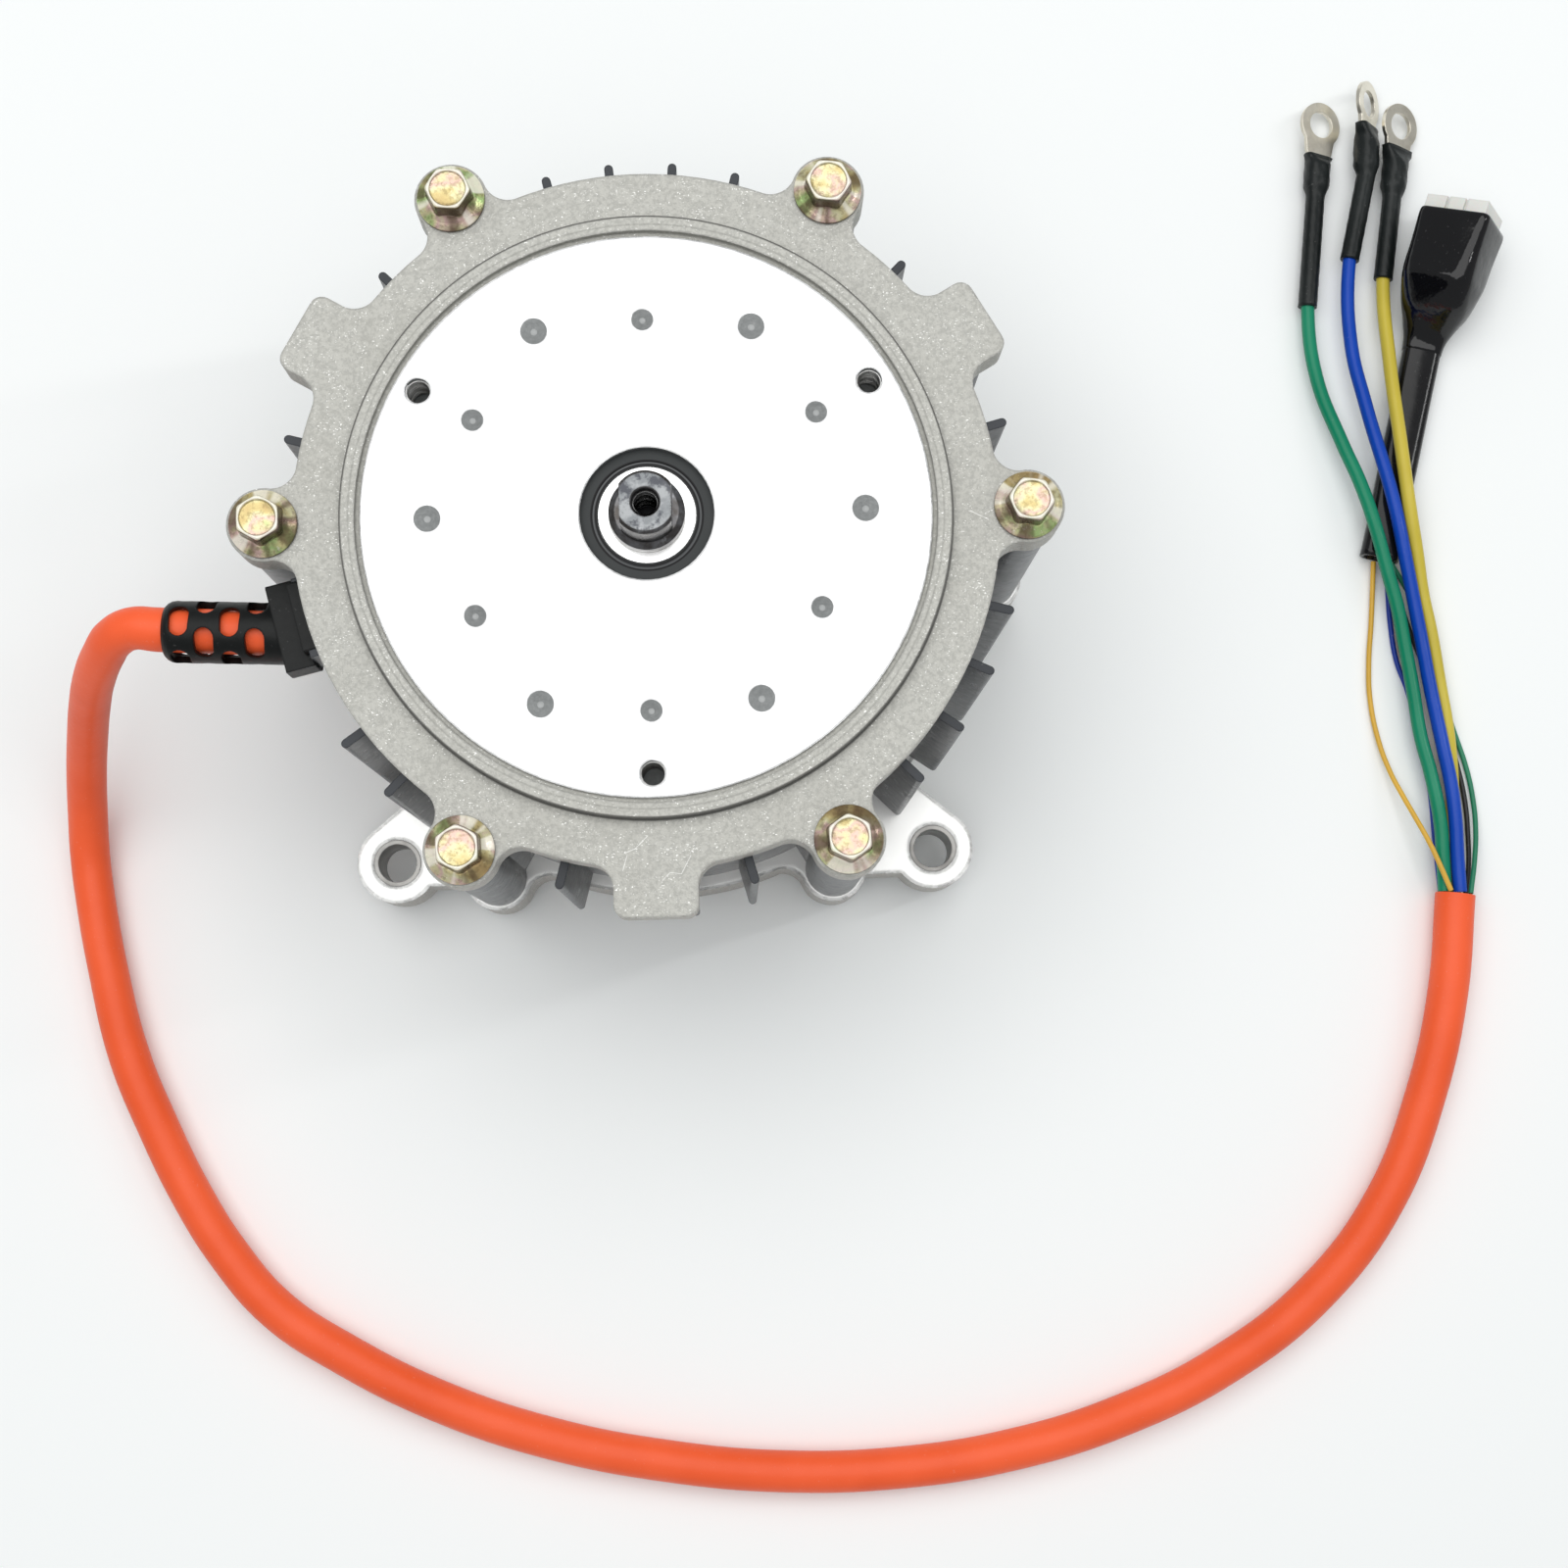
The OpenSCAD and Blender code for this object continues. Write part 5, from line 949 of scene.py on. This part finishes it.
feed(scratch, result["Mask"], between(
    scratch, gap, calc(scratch, "MULTIPLY", ragged, 1.6), calc(scratch, "MULTIPLY", ragged, 0.8)))
handling_scratches = [((-1.4, -63.2), (-3.8, -65.6)), ((-3.8, -65.6), (-5.8, -66.4)),
                      ((-5.4, -66.8), (-6.3, -69.8)), ((6.9, -67.2), (5.0, -70.7)),
                      ((5.0, -70.7), (2.8, -70.4)), ((2.8, -70.4), (1.3, -71.9)),
                      ((63.6, -0.7), (65.1, -1.5)), ((65.1, -1.5), (67.0, -2.4))]
for start, end in handling_scratches:
    line = use_group(tree, scratch, Place=place, From=Vector((*start, 0)) * MM, To=Vector((*end, 0)) * MM)
    tone = lay_over(tree, tone, (0.92, 0.92, 0.90), line["Mask"], 0.55)
feed(tree, shader.inputs["Base Color"], tone)
finish_nodes(front_alloy, "front_cap")

# The threads cut in the three holes of the face and in the shaft's end
thread_tree, given, result, thread_keys = geometry_tree("cut_thread", [
    ("Bore", "Float", 0.0025), ("Pitch", "Float", 0.001), ("Depth", "Float", 0.01), ("Finish", "Material")])
turns = calc(thread_tree, "DIVIDE", given["Depth"], given["Pitch"])
helix = add_node(thread_tree, "GeometryNodeCurveSpiral", {
    "Resolution": 24, "Rotations": turns, "Start Radius": given["Bore"], "End Radius": given["Bore"],
    "Height": given["Depth"]})
ridge = add_node(thread_tree, "GeometryNodeCurvePrimitiveCircle", {
    "Resolution": 4, "Radius": THREAD_RIDGE_R * MM})
cut = add_node(thread_tree, "GeometryNodeCurveToMesh", {
    "Curve": helix.outputs[0], "Profile Curve": ridge.outputs[0], "Fill Caps": True})
close_tree(thread_tree, given, result, set_out(thread_tree, given["Geometry"], cut.outputs[0]))
thread_steel = bare_metal("thread_steel", (0.60, 0.60, 0.59), 0.35, spread=0.2, streaks=0.2)
# The shaft's thread painted dark: painted shade deep in its hole
shaded_thread = bare_metal("shaded_thread", (0.14, 0.14, 0.14), 0.25, spread=0.2, streaks=0.2,
                          tarnish=(0.05, 0.05, 0.05))
hole_floors = [on_circle(HOLE_CIRCLE_R, heading, FACE_Z - FACE_HOLE_DEPTH) for heading in HOLE_HEADINGS]
face_threads = grow("face_hole_threads", hole_floors, thread_tree, thread_keys, {
    "Bore": THREAD_R * MM, "Pitch": THREAD_PITCH * MM, "Depth": FACE_THREAD_DEPTH * MM,
    "Finish": thread_steel})
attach(face_threads, "motor")
shaft_thread = grow("shaft_hole_thread", [(0, 0, TIP_Z - SHAFT_HOLE_DEPTH)], thread_tree, thread_keys, {
    "Bore": THREAD_R * MM, "Pitch": THREAD_PITCH * MM, "Depth": SHAFT_THREAD_DEPTH * MM,
    "Finish": shaded_thread})
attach(shaft_thread, "rotor")


# Case bolts. Six hex flange bolts hold both caps on the housing: cold-headed steel with a
# dished top and a washer flange, plated in yellow zinc that shimmers pink and green.
BOLT_SEAT_Z = 91.2
BOLT_CIRCLE_R = 75.0
BOLT_END_Z = 5.0
SHANK_R = 2.95
HALF_AF = 4.1
FLANGE_R = 6.75
FLANGE_H = 2.6
HEAD_H = 6.6
HEAD_CORNER = 1.118
BOLT_SIDES = 72
FIRST_TURN, EACH_TURN, FAR_ROW_TURN = -6.0, 2.0, 28.0
zinc_tints, given, result = shader_group("zinc_tints", [("Place", "Vector")], [("Colour", "Color")])
film = calc(zinc_tints, "ADD",
            calc(zinc_tints, "MULTIPLY", noise_at(zinc_tints, given["Place"], 95.0), 0.8),
            calc(zinc_tints, "MULTIPLY", noise_at(zinc_tints, given["Place"], 400.0, 3.0), 0.2))
tint = add_node(zinc_tints, "ShaderNodeValToRGB", {0: film})
film_colours = [(0.33, (0.56, 0.40, 0.18)), (0.41, (0.72, 0.60, 0.28)), (0.46, (0.88, 0.84, 0.52)),
                (0.51, (0.82, 0.56, 0.52)), (0.56, (0.84, 0.76, 0.46)), (0.61, (0.50, 0.70, 0.28)),
                (0.70, (0.76, 0.68, 0.34))]
while len(tint.color_ramp.elements) < len(film_colours):
    tint.color_ramp.elements.new(0.5)
for element, (where, colour) in zip(tint.color_ramp.elements, film_colours):
    element.position = where
    element.color = colour + (1,)
feed(zinc_tints, result["Colour"], tint.outputs["Color"])

# Shared: light and dark wedges round each bolt's own axis, a painted reflection on the bright
# plated cone of each bolt's flange. Every bolt is turned back to the first seat and has its own wedges.
flange_reflections, given, result = shader_group(
    "flange_reflections", [("Place", "Vector"), ("Circle", "Float", 0.075)], [("Wedge", "Float")])
axes = axes_of(flange_reflections, given["Place"])
bearing = calc(flange_reflections, "ARCTAN2", axes["Y"], axes["X"])
seat_number = calc(flange_reflections, "ROUND", calc(flange_reflections, "DIVIDE", bearing, math.pi / 3))
turned_back = add_node(flange_reflections, "ShaderNodeVectorRotate", {
    "Vector": given["Place"], "Angle": calc(flange_reflections, "MULTIPLY", seat_number, -math.pi / 3)},
    rotation_type="Z_AXIS").outputs[0]
first_seat = add_node(flange_reflections, "ShaderNodeCombineXYZ", {"X": given["Circle"]}).outputs[0]
off_axis = vector_calc(flange_reflections, "SUBTRACT", turned_back, first_seat)
outwards = vector_calc(flange_reflections, "NORMALIZE", vector_calc(
    flange_reflections, "MULTIPLY", off_axis, (1.0, 1.0, 0.0)))
own_seed = calc(flange_reflections, "MULTIPLY", calc(flange_reflections, "FLOORED_MODULO", seat_number, 6.0), 7.3)
own_place = add_node(flange_reflections, "ShaderNodeCombineXYZ", {"Z": own_seed}).outputs[0]
feed(flange_reflections, result["Wedge"], noise_at(
    flange_reflections, vector_calc(flange_reflections, "ADD", outwards, own_place), 1.25))

yellow_zinc, tree, shader, place = start_material("yellow_zinc", 0.25, 0.65)
edges = use_group(tree, soft_edges, Radius=0.0002)
tints = use_group(tree, zinc_tints, Place=place)
marks = use_group(tree, rub_marks, Place=place, Along=(1.0, 1.0, 1.0), Scale=650.0, Amount=0.45)
wedges = use_group(tree, flange_reflections, Place=place, Circle=BOLT_CIRCLE_R * MM)
flange = cut_band(tree, place, BOLT_SEAT_Z, BOLT_SEAT_Z + FLANGE_H)
# The top rim, painted pale and less metallic: a painted highlight
rim = cut_band(tree, place, BOLT_SEAT_Z + HEAD_H - 0.2, BOLT_SEAT_Z + HEAD_H + 0.1)
scuffs = between(tree, noise_at(tree, place, 780.0, 4.0, 0.75), 0.48, 0.60)
# Dark and pale wedges on the flange: a painted reflection
dark_reflection = calc(tree, "MULTIPLY", between(tree, wedges["Wedge"], 0.51, 0.38), flange["Mask"])
pale_reflection = calc(tree, "MULTIPLY", between(tree, wedges["Wedge"], 0.53, 0.62), flange["Mask"])
upright = facing_up(tree)
# The upright hex sides painted dark: painted shade
sides = between(tree, upright, 0.60, 0.20)
# The up-facing dish painted darker: painted shade that tones down its bright reflection
dish = between(tree, upright, 0.95, 0.985)
tone = tints["Colour"]
# The pale colour on the softened edges is a painted highlight
for colour, mask, share in (
        ((0.20, 0.14, 0.06), scuffs, 0.45), ((0.85, 0.80, 0.66), marks["Mask"], 0.6),
        ((0.13, 0.075, 0.045), dark_reflection, 0.72), ((1.0, 0.96, 0.84), pale_reflection, 0.75),
        ((0.045, 0.026, 0.014), sides, 0.88), ((0.16, 0.11, 0.04), dish, 0.36),
        ((0.95, 0.93, 0.84), rim["Mask"], 0.75), ((0.90, 0.87, 0.76), edges["Edge"], 0.6)):
    tone = lay_over(tree, tone, colour, mask, share)
feed(tree, shader.inputs["Base Color"], tone)
# Less metal where the painted reflection and the rim's painted highlight are, so they stay pale
matt = calc(tree, "MAXIMUM", pale_reflection, rim["Mask"])
feed(tree, shader.inputs["Metallic"], calc(tree, "MULTIPLY_ADD", matt, -0.45, 0.65))
vary_roughness(tree, shader, marks["Height"], 0.3, 0.08)
raise_surface(tree, shader, marks["Height"], 0.12, 0.8, under=edges["Normal"])


def bolt_ring(radius, height, hexness):
    """A section of the bolt: a circle, a hexagon with rounded corners, or something between."""
    ring = []
    for k in range(BOLT_SIDES):
        a = 2 * math.pi * k / BOLT_SIDES
        off_flat = (a + math.pi / 6) % (math.pi / 3) - math.pi / 6
        hexagon = min(radius / math.cos(off_flat), radius * HEAD_CORNER)
        r = mix(radius, hexagon, hexness)
        ring.append((r * math.cos(a), r * math.sin(a), height))
    return ring


# Radius, height over the seat and how six-sided each section is, from the shank's end upwards
bolt_sections = [
    (SHANK_R - 0.5, BOLT_END_Z - BOLT_SEAT_Z, 0), (SHANK_R, BOLT_END_Z - BOLT_SEAT_Z + 0.6, 0),
    (SHANK_R, 0, 0), (FLANGE_R - 0.25, 0, 0), (FLANGE_R, 0.25, 0), (FLANGE_R, 0.75, 0),
    (FLANGE_R - 0.2, 1.0, 0), (FLANGE_R - 1.2, 1.35, 0), (4.9, 1.8, 0.1), (HALF_AF + 0.3, 2.35, 0.55),
    (HALF_AF + 0.05, 2.9, 1), (HALF_AF, 3.6, 1), (HALF_AF, 5.6, 0.98), (HALF_AF - 0.03, 6.05, 0.9),
    (HALF_AF - 0.12, 6.4, 0.76), (HALF_AF - 0.24, HEAD_H, 0.6), (HALF_AF - 0.42, HEAD_H, 0.25),
    (HALF_AF - 0.52, HEAD_H - 0.12, 0.05), (HALF_AF - 0.6, HEAD_H - 0.5, 0),
    (HALF_AF - 0.8, HEAD_H - 0.6, 0), (1.6, HEAD_H - 0.48, 0), (0.5, HEAD_H - 0.42, 0)]
bolt_shape = skin_rings("bolt_shape", [bolt_ring(*section) for section in bolt_sections])

bolt_tree, given, result, bolt_keys = geometry_tree("bolts_on_seats", [
    ("Bolt", "Object"), ("Turn", "Float", 0.0), ("Finish", "Material")])
shape = add_node(bolt_tree, "GeometryNodeObjectInfo", {"Object": given["Bolt"]})
number = add_node(bolt_tree, "GeometryNodeInputIndex").outputs[0]
far_row = calc(bolt_tree, "LESS_THAN", number, 2.5)
degrees = calc(bolt_tree, "MULTIPLY_ADD", far_row, FAR_ROW_TURN,
               calc(bolt_tree, "MULTIPLY_ADD", number, EACH_TURN, given["Turn"]))
turned = turn_about_z(bolt_tree, calc(bolt_tree, "MULTIPLY", degrees, math.pi / 180))
close_tree(bolt_tree, given, result, set_out(
    bolt_tree, given["Geometry"], shape.outputs["Geometry"], turned))
seats = [on_circle(BOLT_CIRCLE_R, 60 * i, BOLT_SEAT_Z) for i in range(6)]
case_bolts = grow("flange_bolts", seats, bolt_tree, bolt_keys, {
    "Bolt": bolt_shape, "Turn": FIRST_TURN, "Finish": yellow_zinc})
bpy.data.objects.remove(bolt_shape)
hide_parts("case_bolts")
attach(case_bolts, "motor")


# Table and light. A plain pale table, a broad soft lamp overhead, a narrow one at the side for
# bright streaks on shiny parts, and an even pale surround.
TABLE_HALF = 2.0
TABLE_DROP = 0.2
table_mesh = bpy.data.meshes.new("table")
table_mesh.from_pydata([(-TABLE_HALF, -TABLE_HALF, 0), (TABLE_HALF, -TABLE_HALF, 0),
                        (TABLE_HALF, TABLE_HALF, 0), (-TABLE_HALF, TABLE_HALF, 0)], [], [(0, 1, 2, 3)])
table = put_in_scene("table", table_mesh)
table.location.z = -TABLE_DROP * MM
table_white, tree, shader, place = start_material("table_white", 0.9)
lit = blend_colour(tree, noise_at(tree, place, 3.0), (0.86, 0.885, 0.885), (0.88, 0.90, 0.90))
path = add_node(tree, "ShaderNodeLightPath").outputs
seen = calc(tree, "MAXIMUM", path["Is Camera Ray"],
            calc(tree, "MAXIMUM", path["Is Glossy Ray"], path["Is Transmission Ray"]))
feed(tree, shader.inputs["Base Color"], blend_colour(tree, seen, lit, (0.965, 0.985, 0.985)))
shader.inputs["Specular IOR Level"].default_value = 0.1
table.data.materials.append(table_white)


def hang_lamp(name, size, energy, colour, place, aim):
    """A soft lamp of this width and length in metres, aimed at a point."""
    data = bpy.data.lights.new(name, "AREA")
    data.shape = "RECTANGLE"
    data.size, data.size_y = size
    data.energy = energy
    data.color = colour
    lamp = put_in_scene(name, data)
    lamp.location = place
    lamp.rotation_euler = (Vector(aim) - lamp.location).to_track_quat("-Z", "Y").to_euler()


hang_lamp("softbox", (1.2, 1.2), 9.1, (1.0, 1.0, 0.99), place=(-0.08, 0.15, 1.05), aim=(0.02, -0.03, 0))
hang_lamp("side_window", (0.05, 0.5), 1.1, (1.0, 1.0, 1.0), place=(0.85, 0.20, 0.85), aim=(0.05, 0, 0.05))

room = bpy.data.worlds.new("room")
room.use_nodes = True
room.node_tree.nodes["Background"].inputs["Color"].default_value = (0.97, 0.99, 1.0, 1)
room.node_tree.nodes["Background"].inputs["Strength"].default_value = 0.40
bpy.context.scene.world = room
bpy.context.scene.view_settings.view_transform = "Standard"
